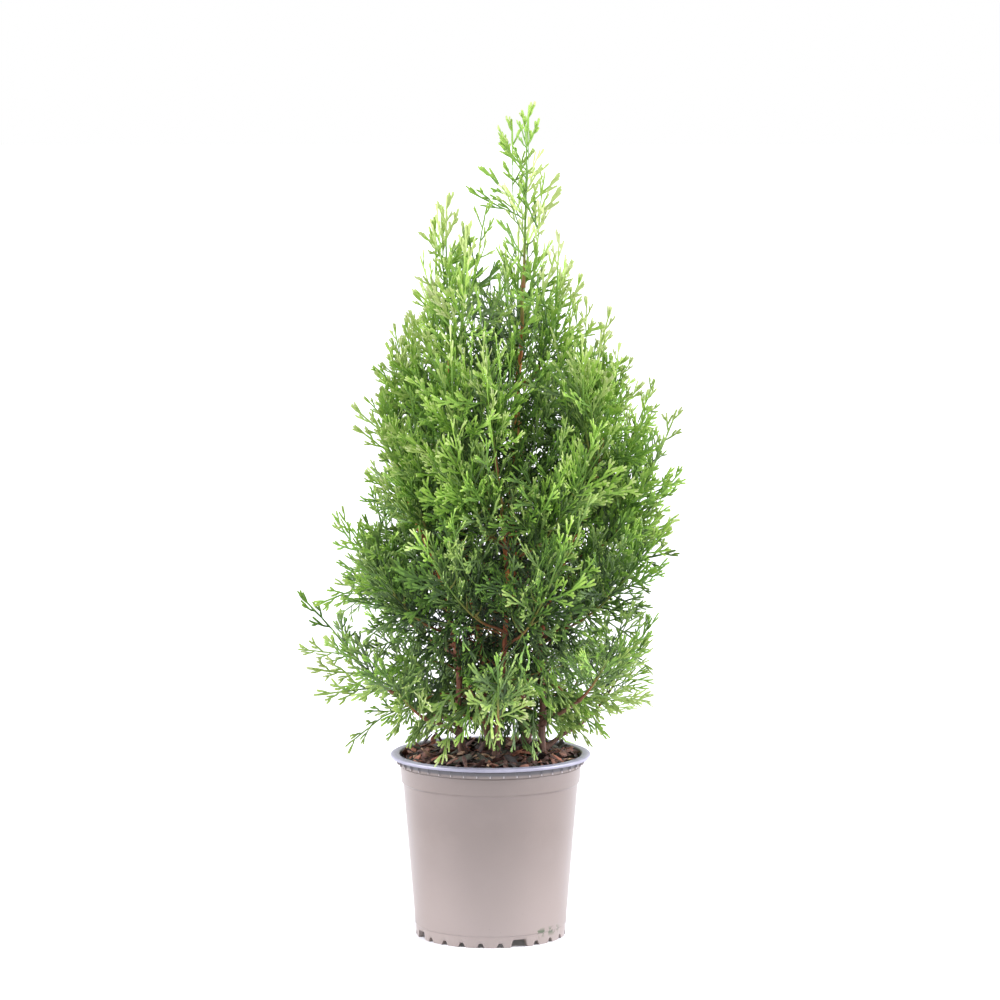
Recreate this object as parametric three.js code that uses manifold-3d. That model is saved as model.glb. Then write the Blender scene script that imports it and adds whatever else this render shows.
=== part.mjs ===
// Potted thuja: a young conifer of several stems in a three-litre nursery pot.
// Millimetres, +Z up, origin at the centre of the pot's underside, front towards -Y, right towards +X.

import * as THREE from 'three';
import { mergeVertices } from 'three/addons/utils/BufferGeometryUtils.js';
import Module from 'manifold-3d';

const wasm = await Module();
wasm.setup();

// ---- driving dimensions ----

const clearance = 0.3;
const aroundSegments = 40;

const pot = {
  rimRadius: 95,
  lipInnerRadius: 86.5,
  lipThickness: 4,
  height: 176,
  collarRadius: 88,
  collarBottom: 166,
  bandRadius: 85,
  shoulderHeight: 147,
  shoulderRadius: 82.5,
  bodyBottomRadius: 71.2,
  footHeight: 10.7,
  footRadius: 70.4,
  footInnerRadius: 65.5,
  floorUnderside: 8.5,
  wall: 1.8,
  notchTop: 13,
  notchBottom: 17,
  notchHeight: 7.5,
  notchCount: 4,
  notchTurn: -67.5,
};

const mulch = {
  top: 171,
  chips: 26,
  chipLength: [14, 26],
  chipWidth: 8,
  chipThickness: 3.6,
  spread: 68,
  tilt: 0.35,
  sunk: 1,
};

// Each stem: its foot on the soil, the places it passes and its tip.
const stems = [
  { name: 'trunk', foot: [32, 20], through: [[26, 12, 270], [20, 2, 400], [26, 0, 520]], tip: [31, 0, 620],
    footRadius: 4.8, tipRadius: 1.5 },
  { name: 'stem_left_leader', foot: [-3, -2], through: [[-10, -4, 275], [-36, 0, 440]], tip: [-40, 2, 560],
    footRadius: 3.6, tipRadius: 1.3 },
  { name: 'stem_left', foot: [-28, -16], through: [[-38, -16, 310], [-74, -12, 410]], tip: [-88, -8, 452],
    footRadius: 3.2, tipRadius: 1.3 },
  { name: 'stem_front', foot: [6, -31], through: [[15, -38, 300], [14, -54, 380]], tip: [6, -70, 452],
    footRadius: 3.0, tipRadius: 1.3 },
  { name: 'stem_right', foot: [50, -2], through: [[50, -6, 300], [86, -8, 400]], tip: [108, -2, 478],
    footRadius: 3.4, tipRadius: 1.3 },
  { name: 'stem_back', foot: [8, 42], through: [[4, 52, 300], [-4, 74, 400]], tip: [-2, 86, 476],
    footRadius: 3.2, tipRadius: 1.3 },
];
const flare = { gain: 0.5, length: 9 };

// Reach of the crown from the pot's axis at each height, to the left and to the right.
const crown = [
  { z: 185, left: 122, right: 96 },
  { z: 245, left: 152, right: 140 },
  { z: 310, left: 184, right: 172 },
  { z: 400, left: 150, right: 184 },
  { z: 460, left: 116, right: 180 },
  { z: 530, left: 122, right: 154 },
  { z: 590, left: 92, right: 106 },
  { z: 660, left: 76, right: 70 },
  { z: 720, left: 44, right: 54 },
];

// Rings of foliage, from the rim up. Each has a number of masses, the way its first tip points, the heights
// of its tips and roots, the fan of its blades (0 upright, 1 level) and their number and length.
const rings = [
  { name: 'droop', count: 5, turn: -158, tip: 196, root: 236, wave: 6, fan: 1, blades: 5, length: 58,
    sag: 0.3, frontLift: 42 },
  { name: 'skirt', count: 8, turn: 2, tip: 280, root: 204, wave: 28, fan: 0.6, blades: 7, length: 74,
    sag: 0.1, bough: 0.5 },
  { name: 'lower', count: 8, turn: 24, tip: 372, root: 292, wave: 16, fan: 0.55, blades: 7, length: 84 },
  { name: 'middle', count: 7, turn: -6, tip: 462, root: 376, wave: 14, fan: 0.5, blades: 7, length: 82 },
  { name: 'upper', count: 5, turn: 24, tip: 548, root: 456, wave: 12, fan: 0.5, blades: 7, length: 76 },
  { name: 'crown', count: 4, turn: -16, tip: 632, root: 540, wave: 10, fan: 0.4, blades: 6, length: 60 },
];

// The mass that carries each stem on to its tip.
const leaders = [
  { stem: 'trunk', tip: [34, 0, 752], blades: 11, length: 64 },
  { stem: 'stem_left_leader', tip: [-42, 2, 664], blades: 9, length: 58 },
  { stem: 'stem_left', tip: [-98, -10, 516], blades: 7, length: 60 },
  { stem: 'stem_front', tip: [-2, -92, 540], blades: 7, length: 74 },
  { stem: 'stem_right', tip: [118, 2, 532], blades: 7, length: 58 },
  { stem: 'stem_back', tip: [4, 92, 560], blades: 7, length: 74 },
];

const crownCentre = new THREE.Vector3(4, -4, 0);

// Limbs: stems rise upright from the soil, boughs and spines leave their parents square and bend once.
const uprightFoot = 18;
const stepsPerSpan = 3;
const limbSteps = 6;
const boughRadius = { root: 2.3, tip: 1.5 };
const spineRadius = { root: 1.5, tip: 0.8 };
const bendShare = 0.32;
const elbowRise = 0.25;
const nearlyStraight = 0.05;
const belowTip = 20;
const rootStagger = 9;
const turnWobble = 0.3;

// A mass whose spine would touch another limb is tried again with its root moved by these steps.
const rootTries = [0, 1, -1, 2, -2, 3, -3, 4];
const rootStep = 8;
const turnStep = 0.05;
const passSamples = 60;

// Blades along a spine, and the room that they keep.
const firstBlade = 0.2;
const lastBlade = 0.95;
const tipBladeSeat = 0.97;
const tipBladeLength = 48;
const tipInset = 20;
const bladeAngle = 0.74;
const bladeShrink = 0.5;
const rollSpread = 1.9;
const longBladeFrom = 46;
const bladeHalfThickness = 0.9;
const ownSpace = 1.6;
const limbSpace = 1.2;
const bladeSpace = 2.4;
const rimSpace = 3;
const lowestOverPot = 182;

// A blade that finds no room is tried rolled about its spine, then shorter: [share of length, roll].
const bladeTries = [[1, 0], [1, 0.7], [1, -0.7], [0.8, 0], [0.8, 0.7], [0.8, -0.7], [0.6, 0]];

// ---- materials ----

function finish(color, roughness) {
  return new THREE.MeshStandardMaterial({ color, roughness, metalness: 0 });
}

const potFinish = () => finish(0xb9abab, 0.55);
const mulchFinish = () => finish(0x5a3a2c, 0.95);
const barkFinish = () => finish(0x8a6248, 0.9);
const foliageFinish = () => finish(0x5f8f38, 0.7);

// ---- small helpers ----

// A repeatable number from 0 to 1 for a few whole-number keys.
function chance(...keys) {
  let mixed = 2166136261;
  for (const key of keys) mixed = Math.imul(mixed ^ key, 16777619) >>> 0;
  mixed = Math.imul(mixed ^ (mixed >>> 15), 2246822519) >>> 0;
  mixed = Math.imul(mixed ^ (mixed >>> 13), 3266489917) >>> 0;
  return ((mixed ^ (mixed >>> 16)) >>> 0) / 4294967296;
}

// A factor near 1, up to 15% either way.
const varied = (...keys) => 0.85 + 0.3 * chance(...keys);

const radians = THREE.MathUtils.degToRad;
const mix = THREE.MathUtils.lerp;
const goldenTurn = Math.PI * (3 - Math.sqrt(5));
const point = (x, y, z) => new THREE.Vector3(x, y, z);
const up = point(0, 0, 1);

function toSolid(geometry) {
  const bare = geometry.clone();
  bare.deleteAttribute('normal');
  bare.deleteAttribute('uv');
  const merged = mergeVertices(bare, 1e-4);
  return new wasm.Manifold(new wasm.Mesh({
    numProp: 3,
    vertProperties: new Float32Array(merged.attributes.position.array),
    triVerts: new Uint32Array(merged.index.array),
  }));
}

function toGeometry(solid) {
  const mesh = solid.getMesh();
  const geometry = new THREE.BufferGeometry();
  geometry.setAttribute('position', new THREE.BufferAttribute(mesh.vertProperties, 3));
  geometry.setIndex(new THREE.BufferAttribute(mesh.triVerts, 1));
  geometry.computeVertexNormals();
  return geometry;
}

// ---- pot ----

function turned(profile) {
  const outline = profile.map(([r, z]) => new THREE.Vector2(r, z));
  outline.push(outline[0].clone());
  const geometry = new THREE.LatheGeometry(outline, aroundSegments);
  return geometry.rotateX(Math.PI / 2);
}

// The wall's inner face at the pot's steps, from the floor up to the lip.
function innerWall(inset) {
  return [
    [pot.bodyBottomRadius - pot.wall - inset, pot.floorUnderside + pot.wall + inset],
    [pot.shoulderRadius - pot.wall - inset, pot.shoulderHeight - 1],
    [pot.bandRadius - pot.wall - inset, pot.shoulderHeight + 1],
    [pot.bandRadius - pot.wall - inset, pot.collarBottom],
    [pot.lipInnerRadius - inset, pot.collarBottom + pot.wall],
  ];
}

function notchSolid(turn) {
  const outline = new THREE.Shape([
    new THREE.Vector2(-pot.notchBottom / 2, -1),
    new THREE.Vector2(pot.notchBottom / 2, -1),
    new THREE.Vector2(pot.notchTop / 2, pot.notchHeight),
    new THREE.Vector2(-pot.notchTop / 2, pot.notchHeight),
  ]);
  const depth = 12;
  const cutter = new THREE.ExtrudeGeometry(outline, { depth, bevelEnabled: false });
  cutter.translate(0, 0, pot.footInnerRadius - depth / 3);
  cutter.rotateX(Math.PI / 2);
  cutter.rotateZ(radians(turn));
  return toSolid(cutter);
}

function potGeometry() {
  const outside = [
    [0, pot.floorUnderside],
    [pot.footInnerRadius, pot.floorUnderside],
    [pot.footInnerRadius, 0],
    [pot.footRadius, 0],
    [pot.footRadius, pot.footHeight],
    [pot.bodyBottomRadius, pot.footHeight + 1],
    [pot.shoulderRadius, pot.shoulderHeight],
    [pot.bandRadius - 0.6, pot.shoulderHeight + 1],
    [pot.bandRadius, pot.collarBottom - 1],
    [pot.collarRadius, pot.collarBottom],
    [pot.collarRadius, pot.height - pot.lipThickness],
    [pot.rimRadius, pot.height - pot.lipThickness],
    [pot.rimRadius, pot.height - 1],
    [pot.rimRadius - 1, pot.height],
    [pot.lipInnerRadius, pot.height],
  ];
  const inside = innerWall(0).reverse();
  const shell = turned([...outside, ...inside, [0, pot.floorUnderside + pot.wall]]);
  let solid = toSolid(shell);
  for (let i = 0; i < pot.notchCount; i++) {
    solid = solid.subtract(notchSolid(pot.notchTurn + i * 360 / pot.notchCount));
  }
  return toGeometry(solid);
}

// ---- bark mulch ----

function clearOfStems(x, y, halfLength) {
  return stems.every((stem) => {
    const room = halfLength + stem.footRadius * (1 + flare.gain) + 1;
    return Math.hypot(x - stem.foot[0], y - stem.foot[1]) > room;
  });
}

function chipGeometry(index) {
  const length = mix(...mulch.chipLength, chance(1, index, 1));
  const radius = mulch.spread * Math.sqrt((index + 0.5) / mulch.chips);
  const around = index * goldenTurn;
  const x = radius * Math.cos(around);
  const y = radius * Math.sin(around);
  if (!clearOfStems(x, y, length / 2)) return null;
  const chip = new THREE.BoxGeometry(length, mulch.chipWidth, mulch.chipThickness);
  chip.rotateY((chance(1, index, 2) - 0.5) * mulch.tilt);
  chip.rotateX((chance(1, index, 3) - 0.5) * mulch.tilt);
  chip.rotateZ(chance(1, index, 4) * Math.PI);
  chip.translate(x, y, mulch.top + mulch.sunk);
  return chip;
}

function mulchGeometry() {
  const wall = innerWall(clearance);
  const edge = [pot.lipInnerRadius - clearance, mulch.top];
  const body = turned([[0, wall[0][1]], ...wall, edge, [0, mulch.top]]);
  let solid = toSolid(body);
  for (let i = 0; i < mulch.chips; i++) {
    const chip = chipGeometry(i);
    if (chip) solid = solid.add(toSolid(chip));
  }
  return toGeometry(solid);
}

// ---- limbs ----

// A limb: ring centres along its curve and the radius at each.
function limbAlong(curve, steps, radiusAt, sideways) {
  const centres = [];
  const radii = [];
  for (let i = 0; i <= steps; i++) {
    centres.push(curve.getPoint(i / steps));
    radii.push(radiusAt(i / steps));
  }
  return { centres, radii, steps, sideways };
}

function limbPoint(limb, along) {
  const place = Math.min(along * limb.steps, limb.steps - 1e-6);
  const ring = Math.floor(place);
  return limb.centres[ring].clone().lerp(limb.centres[ring + 1], place - ring);
}

function limbRadius(limb, along) {
  const place = Math.min(along * limb.steps, limb.steps - 1e-6);
  const ring = Math.floor(place);
  return mix(limb.radii[ring], limb.radii[ring + 1], place - ring);
}

function limbDirection(limb, along) {
  const ring = Math.floor(Math.min(along * limb.steps, limb.steps - 1e-6));
  return limb.centres[ring + 1].clone().sub(limb.centres[ring]).normalize();
}

// How far along a rising limb the height z is reached.
function alongAtHeight(limb, z) {
  for (let ring = 0; ring < limb.steps; ring++) {
    const low = limb.centres[ring].z;
    const high = limb.centres[ring + 1].z;
    if (z <= high) return (ring + Math.max(0, z - low) / (high - low)) / limb.steps;
  }
  return 1;
}

// A closed cylinder bent along the limb: each ring square to the mean of the steps that meet there.
function limbGeometry(limb, sides) {
  const geometry = new THREE.CylinderGeometry(1, 1, 1, sides, limb.steps);
  const places = geometry.attributes.position;
  for (let i = 0; i < places.count; i++) {
    const ring = Math.round((places.getY(i) + 0.5) * limb.steps);
    const before = limb.centres[Math.max(ring - 1, 0)];
    const after = limb.centres[Math.min(ring + 1, limb.steps)];
    const forward = ring === 0 ? limb.start : after.clone().sub(before).normalize();
    const across = limb.sideways.clone().cross(forward).normalize();
    const side = forward.clone().cross(across);
    const place = limb.centres[ring].clone();
    place.addScaledVector(across, places.getX(i) * limb.radii[ring]);
    place.addScaledVector(side, -places.getZ(i) * limb.radii[ring]);
    places.setXYZ(i, place.x, place.y, place.z);
  }
  return geometry;
}

function growStem(stem) {
  const foot = point(...stem.foot, mulch.top + clearance);
  const aboveFoot = foot.clone().addScaledVector(up, uprightFoot);
  const path = [foot, aboveFoot, ...stem.through.map((place) => point(...place)), point(...stem.tip)];
  const curve = new THREE.CatmullRomCurve3(path, false, 'catmullrom', 0.5);
  const height = stem.tip[2] - mulch.top;
  const radiusAt = (t) => {
    const rise = curve.getPoint(t).z - foot.z;
    const swell = 1 + flare.gain * Math.exp(-rise / flare.length);
    return mix(stem.footRadius, stem.tipRadius, rise / height) * swell;
  };
  const limb = limbAlong(curve, (path.length - 1) * stepsPerSpan, radiusAt, point(0, 1, 0));
  return { ...limb, start: up, name: stem.name };
}

// A limb that leaves its parent square to it, 0.3 mm clear of its side or of its end, and bends to its tip.
function growFrom(parent, along, tip, radius, steps) {
  const atEnd = along >= 1;
  const seat = limbPoint(parent, along);
  const parentWay = limbDirection(parent, along);
  const toTip = tip.clone().sub(seat);
  const square = toTip.clone().addScaledVector(parentWay, -toTip.dot(parentWay)).normalize();
  const outward = atEnd ? parentWay : square;
  const root = seat.clone().addScaledVector(outward, clearance + (atEnd ? 0 : limbRadius(parent, along)));
  const span = tip.clone().sub(root);
  const bend = root.clone().addScaledVector(outward, span.length() * bendShare);
  const sideways = span.clone().cross(outward);
  if (sideways.length() < span.length() * nearlyStraight) sideways.copy(span).cross(point(1, 0, 0));
  const curve = new THREE.QuadraticBezierCurve3(root, bend, tip);
  const limb = limbAlong(curve, steps, (t) => mix(radius.root, radius.tip, t), sideways.normalize());
  return { ...limb, start: outward };
}

// ---- crown ----

function crownReach(z, azimuth) {
  const last = crown.length - 1;
  const above = Math.min(Math.max(crown.findIndex((row) => row.z > z), 1), last);
  const high = z >= crown[last].z ? last : above;
  const low = crown[high - 1];
  const share = Math.min(Math.max((z - low.z) / (crown[high].z - low.z), 0), 1);
  const left = mix(low.left, crown[high].left, share);
  const right = mix(low.right, crown[high].right, share);
  return mix(left, right, (1 + Math.cos(azimuth)) / 2);
}

function nearestStem(limbs, z, tip) {
  let best = null;
  for (const limb of limbs) {
    const top = limb.centres[limb.steps].z;
    const seat = limbPoint(limb, alongAtHeight(limb, Math.min(z, top - belowTip)));
    const distance = Math.hypot(tip.x - seat.x, tip.y - seat.y) + Math.max(0, z - top + belowTip);
    if (!best || distance < best.distance) best = { limb, distance, top };
  }
  return best;
}

function distanceToLimb(place, limb) {
  let nearest = Infinity;
  const segment = new THREE.Line3();
  const foot = point(0, 0, 0);
  for (let ring = 0; ring < limb.steps; ring++) {
    segment.set(limb.centres[ring], limb.centres[ring + 1]);
    segment.closestPointToPoint(place, true, foot);
    nearest = Math.min(nearest, foot.distanceTo(place) - limb.radii[ring]);
  }
  return nearest;
}

// Whether a new limb passes clear of the limbs that already stand, its own parent aside.
function passesClear(limb, others) {
  for (let i = 0; i <= passSamples; i++) {
    const along = i / passSamples;
    const place = limbPoint(limb, along);
    const room = limbRadius(limb, along) + limbSpace;
    if (others.some((other) => distanceToLimb(place, other) < room)) return false;
  }
  return true;
}

// One mass's spine, with its bough where its ring has them, for a root moved by some steps.
function tryMass(stemLimbs, ring, ringIndex, i, step) {
  const wobble = turnWobble * (chance(2, ringIndex, i) - 0.5);
  const azimuth = radians(ring.turn + (i + wobble) * 360 / ring.count) + step * turnStep;
  const frontLift = (ring.frontLift ?? 0) * Math.max(0, -Math.sin(azimuth));
  const tipHeight = ring.tip + ring.wave * (2 * chance(3, ringIndex, i) - 1) + frontLift;
  const reach = crownReach(tipHeight, azimuth) - tipInset;
  const tip = point(reach * Math.cos(azimuth), reach * Math.sin(azimuth), tipHeight).add(crownCentre);
  const rootHeight = ring.root + (i % 3 - 1) * rootStagger + (tipHeight - ring.tip) * 0.5 + step * rootStep;
  const found = nearestStem(stemLimbs, rootHeight, tip);
  const along = alongAtHeight(found.limb, Math.min(rootHeight, found.top - belowTip));
  if (!ring.bough) {
    const spine = growFrom(found.limb, along, tip, spineRadius, limbSteps);
    return { parent: found.limb, grown: [spine], spine };
  }
  const seat = limbPoint(found.limb, along);
  const elbow = seat.clone().lerp(tip, ring.bough);
  elbow.z = mix(seat.z, tip.z, elbowRise);
  const bough = growFrom(found.limb, along, elbow, boughRadius, limbSteps);
  const spine = growFrom(bough, 1, tip, spineRadius, limbSteps);
  return { parent: found.limb, grown: [bough, spine], bough, spine };
}

// Where everything grows: the stems, the boughs that carry the lowest ring, and a spine for each mass.
function plantLimbs() {
  const stemLimbs = stems.map(growStem);
  const boughs = [];
  const spines = [];
  for (const leader of leaders) {
    const parent = stemLimbs.find((limb) => limb.name === leader.stem);
    const spine = growFrom(parent, 1, point(...leader.tip), spineRadius, limbSteps);
    const ring = { fan: 0.3, blades: leader.blades, length: leader.length };
    spines.push({ ...spine, name: `foliage_tip_${leader.stem.replace('stem_', '')}`, ring });
  }
  rings.forEach((ring, ringIndex) => {
    for (let i = 0; i < ring.count; i++) {
      const standing = [...stemLimbs, ...boughs, ...spines];
      const mass = rootTries.map((step) => tryMass(stemLimbs, ring, ringIndex, i, step)).find((tried) => {
        const others = standing.filter((limb) => limb !== tried.parent);
        return tried.grown.every((limb) => passesClear(limb, others));
      });
      if (!mass) throw new Error(`no room for mass ${i + 1} of ring ${ring.name}`);
      if (mass.bough) boughs.push({ ...mass.bough, name: `bough_${ring.name}_${i + 1}` });
      spines.push({ ...mass.spine, name: `foliage_${ring.name}_${i + 1}`, ring });
    }
  });
  return { limbs: [...stemLimbs, ...boughs], spines };
}

// ---- foliage ----

// Corners of a toothed blade as shares of its length: valleys and teeth by turns, and the ridge.
const longBlade = {
  edge: [[0.2, 0.025], [0.5, 0.3], [0.42, 0.075], [0.72, 0.25], [0.64, 0.06], [0.88, 0.13]],
  ridge: [0.3, 0.52, 0.75],
};
const shortBlade = {
  edge: [[0.24, 0.03], [0.6, 0.3], [0.5, 0.075], [0.86, 0.18]],
  ridge: [0.36, 0.65],
};
// A closed blade from its root: a ridge on both faces, thin at the teeth. Its frame is forward, side, normal.
function bladeGeometry(shape, length, frame) {
  const place = (u, v, w) => frame.root.clone()
    .addScaledVector(frame.forward, u * length)
    .addScaledVector(frame.side, v * length)
    .addScaledVector(frame.normal, w);
  const corners = [];
  const root = place(-0.01, 0, 0);
  const tip = place(1, 0, 0);
  for (const hand of [1, -1]) {
    for (const over of [1, -1]) {
      const face = (a, b, c) => {
        const order = hand * over > 0 ? [a, b, c] : [a, c, b];
        for (const corner of order) corners.push(corner.x, corner.y, corner.z);
      };
      const ridge = shape.ridge.map((u) => place(u, 0, over * bladeHalfThickness));
      const edge = shape.edge.map(([u, v]) => place(u, hand * v, 0));
      face(root, ridge[0], edge[0]);
      ridge.forEach((crest, tooth) => {
        const next = edge[2 * tooth + 2] ?? tip;
        face(edge[2 * tooth], crest, edge[2 * tooth + 1]);
        face(edge[2 * tooth + 1], crest, next);
        if (tooth + 1 < ridge.length) face(next, crest, ridge[tooth + 1]);
      });
    }
  }
  const geometry = new THREE.BufferGeometry();
  geometry.setAttribute('position', new THREE.Float32BufferAttribute(corners, 3));
  geometry.setAttribute('normal', new THREE.Float32BufferAttribute(corners, 3));
  geometry.setAttribute('uv', new THREE.Float32BufferAttribute(new Float32Array(corners.length / 3 * 2), 2));
  return geometry;
}

// Where blade k of a spine sits: alternate sides along the spine, rolled about it, the last at its end.
function bladeFrame(spine, spineIndex, k, turn) {
  const { blades, fan, sag = 0 } = spine.ring;
  const atTip = k === blades - 1;
  const along = atTip ? tipBladeSeat : mix(firstBlade, lastBlade, k / (blades - 1));
  const way = limbDirection(spine, along);
  const across = spine.sideways.clone().cross(way).normalize();
  const hand = k % 2 ? -1 : 1;
  const roll = fan * Math.PI / 2 + (chance(4, spineIndex, k) - 0.5) * rollSpread + turn;
  const out = across.clone().multiplyScalar(Math.cos(roll)).addScaledVector(spine.sideways, Math.sin(roll));
  const angle = bladeAngle * varied(5, spineIndex, k);
  const forward = atTip ? way.clone() : way.clone().multiplyScalar(Math.cos(angle));
  if (!atTip) forward.addScaledVector(out, hand * Math.sin(angle));
  forward.z -= sag;
  forward.normalize();
  const normal = (atTip ? way.clone().cross(out) : way.clone().cross(forward)).normalize();
  normal.addScaledVector(forward, -normal.dot(forward)).normalize();
  const side = normal.clone().cross(forward);
  return { root: limbPoint(spine, along), forward, normal, side, along, atTip };
}

// A blade keeps to its mass's space: nearer to its own spine than to any other, clear of limbs and pot.
function hasRoom(shape, length, frame, spine) {
  const peaks = shape.edge.filter((corner, i) => i % 2 === 1);
  const teeth = peaks.map(([u, v], tooth) => [(u + shape.ridge[tooth]) / 2, v / 2]);
  const outline = [...shape.edge.slice(1), ...teeth, ...shape.ridge.map((u) => [u, 0]), [1, 0]];
  const places = [];
  for (const [u, v] of outline) {
    for (const hand of v ? [1, -1] : [1]) {
      places.push(frame.root.clone().addScaledVector(frame.forward, u * length)
        .addScaledVector(frame.side, hand * v * length));
    }
  }
  return places.every((place) => {
    const overPot = Math.hypot(place.x, place.y) < pot.rimRadius + rimSpace && place.z < lowestOverPot;
    if (overPot) return false;
    if (plant.limbs.some((limb) => distanceToLimb(place, limb) < bladeSpace)) return false;
    const own = distanceToLimb(place, spine);
    return plant.spines.every((other) => other === spine || distanceToLimb(place, other) > own + ownSpace);
  });
}

function bladesOf(spine, spineIndex) {
  const blades = [];
  for (let k = 0; k < spine.ring.blades; k++) {
    for (const [share, turn] of bladeTries) {
      const frame = bladeFrame(spine, spineIndex, k, turn);
      const shrink = (1 - bladeShrink * frame.along) * varied(6, spineIndex, k);
      const length = share * (frame.atTip ? tipBladeLength : spine.ring.length * shrink);
      const shape = length > longBladeFrom ? longBlade : shortBlade;
      if (hasRoom(shape, length, frame, spine)) {
        blades.push({ shape, length, frame });
        break;
      }
    }
  }
  return blades;
}

// The largest closed shell of a join: sealed hollows are filled and scraps dropped.
function wholePiece(solid) {
  return solid.decompose().reduce((best, piece) => (piece.volume() > best.volume() ? piece : best));
}

function massGeometry(spine, spineIndex) {
  const parts = [toSolid(limbGeometry(spine, 3))];
  for (const blade of bladesOf(spine, spineIndex)) {
    parts.push(toSolid(bladeGeometry(blade.shape, blade.length, blade.frame)));
  }
  return toGeometry(wholePiece(wasm.Manifold.union(parts)));
}

// ---- assembly ----

function named(name, geometry, material) {
  const mesh = new THREE.Mesh(geometry, material);
  mesh.name = name;
  return mesh;
}

const plant = plantLimbs();

const container = new THREE.Group();
container.add(named('pot', potGeometry(), potFinish()));
container.add(named('bark_mulch', mulchGeometry(), mulchFinish()));

const wood = new THREE.Group();
for (const limb of plant.limbs) {
  const sides = limb.name === 'trunk' ? 8 : 6;
  wood.add(named(limb.name, toGeometry(toSolid(limbGeometry(limb, sides))), barkFinish()));
}

const foliage = new THREE.Group();
plant.spines.forEach((spine, index) => {
  foliage.add(named(spine.name, massGeometry(spine, index), foliageFinish()));
});

const group = new THREE.Group();
group.add(container, wood, foliage);

export default group;
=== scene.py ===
import bpy
import math
import numpy as np
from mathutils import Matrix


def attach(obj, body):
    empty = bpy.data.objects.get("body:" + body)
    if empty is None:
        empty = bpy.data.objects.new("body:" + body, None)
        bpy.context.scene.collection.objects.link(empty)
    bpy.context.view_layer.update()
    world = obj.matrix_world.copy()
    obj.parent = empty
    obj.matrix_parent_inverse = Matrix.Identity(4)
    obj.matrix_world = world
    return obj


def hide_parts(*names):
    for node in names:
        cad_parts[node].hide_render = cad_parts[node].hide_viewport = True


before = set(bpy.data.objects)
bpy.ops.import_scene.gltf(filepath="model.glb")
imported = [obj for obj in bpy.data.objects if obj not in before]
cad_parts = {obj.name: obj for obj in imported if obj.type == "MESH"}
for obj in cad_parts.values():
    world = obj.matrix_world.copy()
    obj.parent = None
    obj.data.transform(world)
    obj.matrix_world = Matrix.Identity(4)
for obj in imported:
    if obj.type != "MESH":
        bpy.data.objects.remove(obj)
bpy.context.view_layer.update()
print("frame: %d solids" % len(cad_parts))

# Lengths in the dictionaries are millimetres, as the plant is measured; meshes are made in metres.
mm = 0.001
upward = np.array([0.0, 0.0, 1.0])
goldenTurn = math.pi * (3 - math.sqrt(5))


def chance(*keys):
    # a repeatable number from 0 to 1 for a few whole numbers, of which the first says what is drawn:
    # multiply and fold, then mix twice
    mixed = 2166136261
    for key in keys:
        mixed = ((mixed ^ key) * 16777619) & 0xffffffff
    mixed = ((mixed ^ (mixed >> 15)) * 2246822519) & 0xffffffff
    mixed = ((mixed ^ (mixed >> 13)) * 3266489917) & 0xffffffff
    return (mixed ^ (mixed >> 16)) / 4294967296


def varied(*keys):
    # a repeatable factor from 0.85 to 1.15
    return 0.85 + 0.3 * chance(*keys)


def mix(low, high, share):
    return low + (high - low) * share


def unit(vectors):
    return vectors / np.linalg.norm(vectors, axis=-1, keepdims=True)


def makePiece(name, points, faces, materials, tones=None, uv=None, values=None, smooth=True):
    # points in metres; faces a list of index arrays (n, 3) or (n, 4); tones one material index per face
    mesh = bpy.data.meshes.new(name)
    mesh.vertices.add(len(points))
    mesh.vertices.foreach_set("co", np.asarray(points, np.float32).ravel())
    corners = np.concatenate([group.ravel() for group in faces]).astype(np.int32)
    sizes = np.concatenate([np.full(len(group), group.shape[1]) for group in faces])
    mesh.loops.add(len(corners))
    mesh.loops.foreach_set("vertex_index", corners)
    mesh.polygons.add(len(sizes))
    mesh.polygons.foreach_set("loop_start", np.concatenate([[0], np.cumsum(sizes)[:-1]]).astype(np.int32))
    for material in materials:
        mesh.materials.append(material)
    if tones is not None:
        mesh.polygons.foreach_set("material_index", np.asarray(tones, np.int32))
    if uv is not None:
        layer = mesh.uv_layers.new(name="alongAround")
        layer.data.foreach_set("uv", uv[corners].astype(np.float32).ravel())
    if values is not None:
        shade = mesh.attributes.new("shade", "FLOAT", "POINT")
        shade.data.foreach_set("value", values.astype(np.float32))
    mesh.update(calc_edges=True)
    mesh.polygons.foreach_set("use_smooth", np.full(len(sizes), smooth))
    piece = bpy.data.objects.new(name, mesh)
    bpy.context.scene.collection.objects.link(piece)
    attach(piece, "root")
    return piece


def gridFaces(rows, columns):
    # quads between the rows of a tube's points, each row closed round
    row, column = np.meshgrid(np.arange(rows - 1), np.arange(columns), indexing="ij")
    here = row * columns
    above = here + columns
    after = (column + 1) % columns
    quads = [here + column, here + after, above + after, above + column]
    return np.stack(quads, axis=-1).reshape(-1, 4)


def fanFaces(columns, start, centre, flipped=False):
    # triangles from one centre point to a closed ring of points, numbered from start
    ring = start + np.arange(columns)
    after = start + (np.arange(columns) + 1) % columns
    edge = [after, ring] if flipped else [ring, after]
    return np.stack([*edge, np.full(columns, centre)], -1)


def joinParts(parts):
    # several parts as one: points, quads, triangles, and the values that go with them
    points, quads, triangles, *rest = zip(*parts)
    offsets = np.cumsum([0] + [len(group) for group in points[:-1]])
    faces = [np.concatenate([group + offset for group, offset in zip(groups, offsets)])
             for groups in (quads, triangles)]
    return (np.concatenate(points), *faces, *map(np.concatenate, rest))


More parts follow.
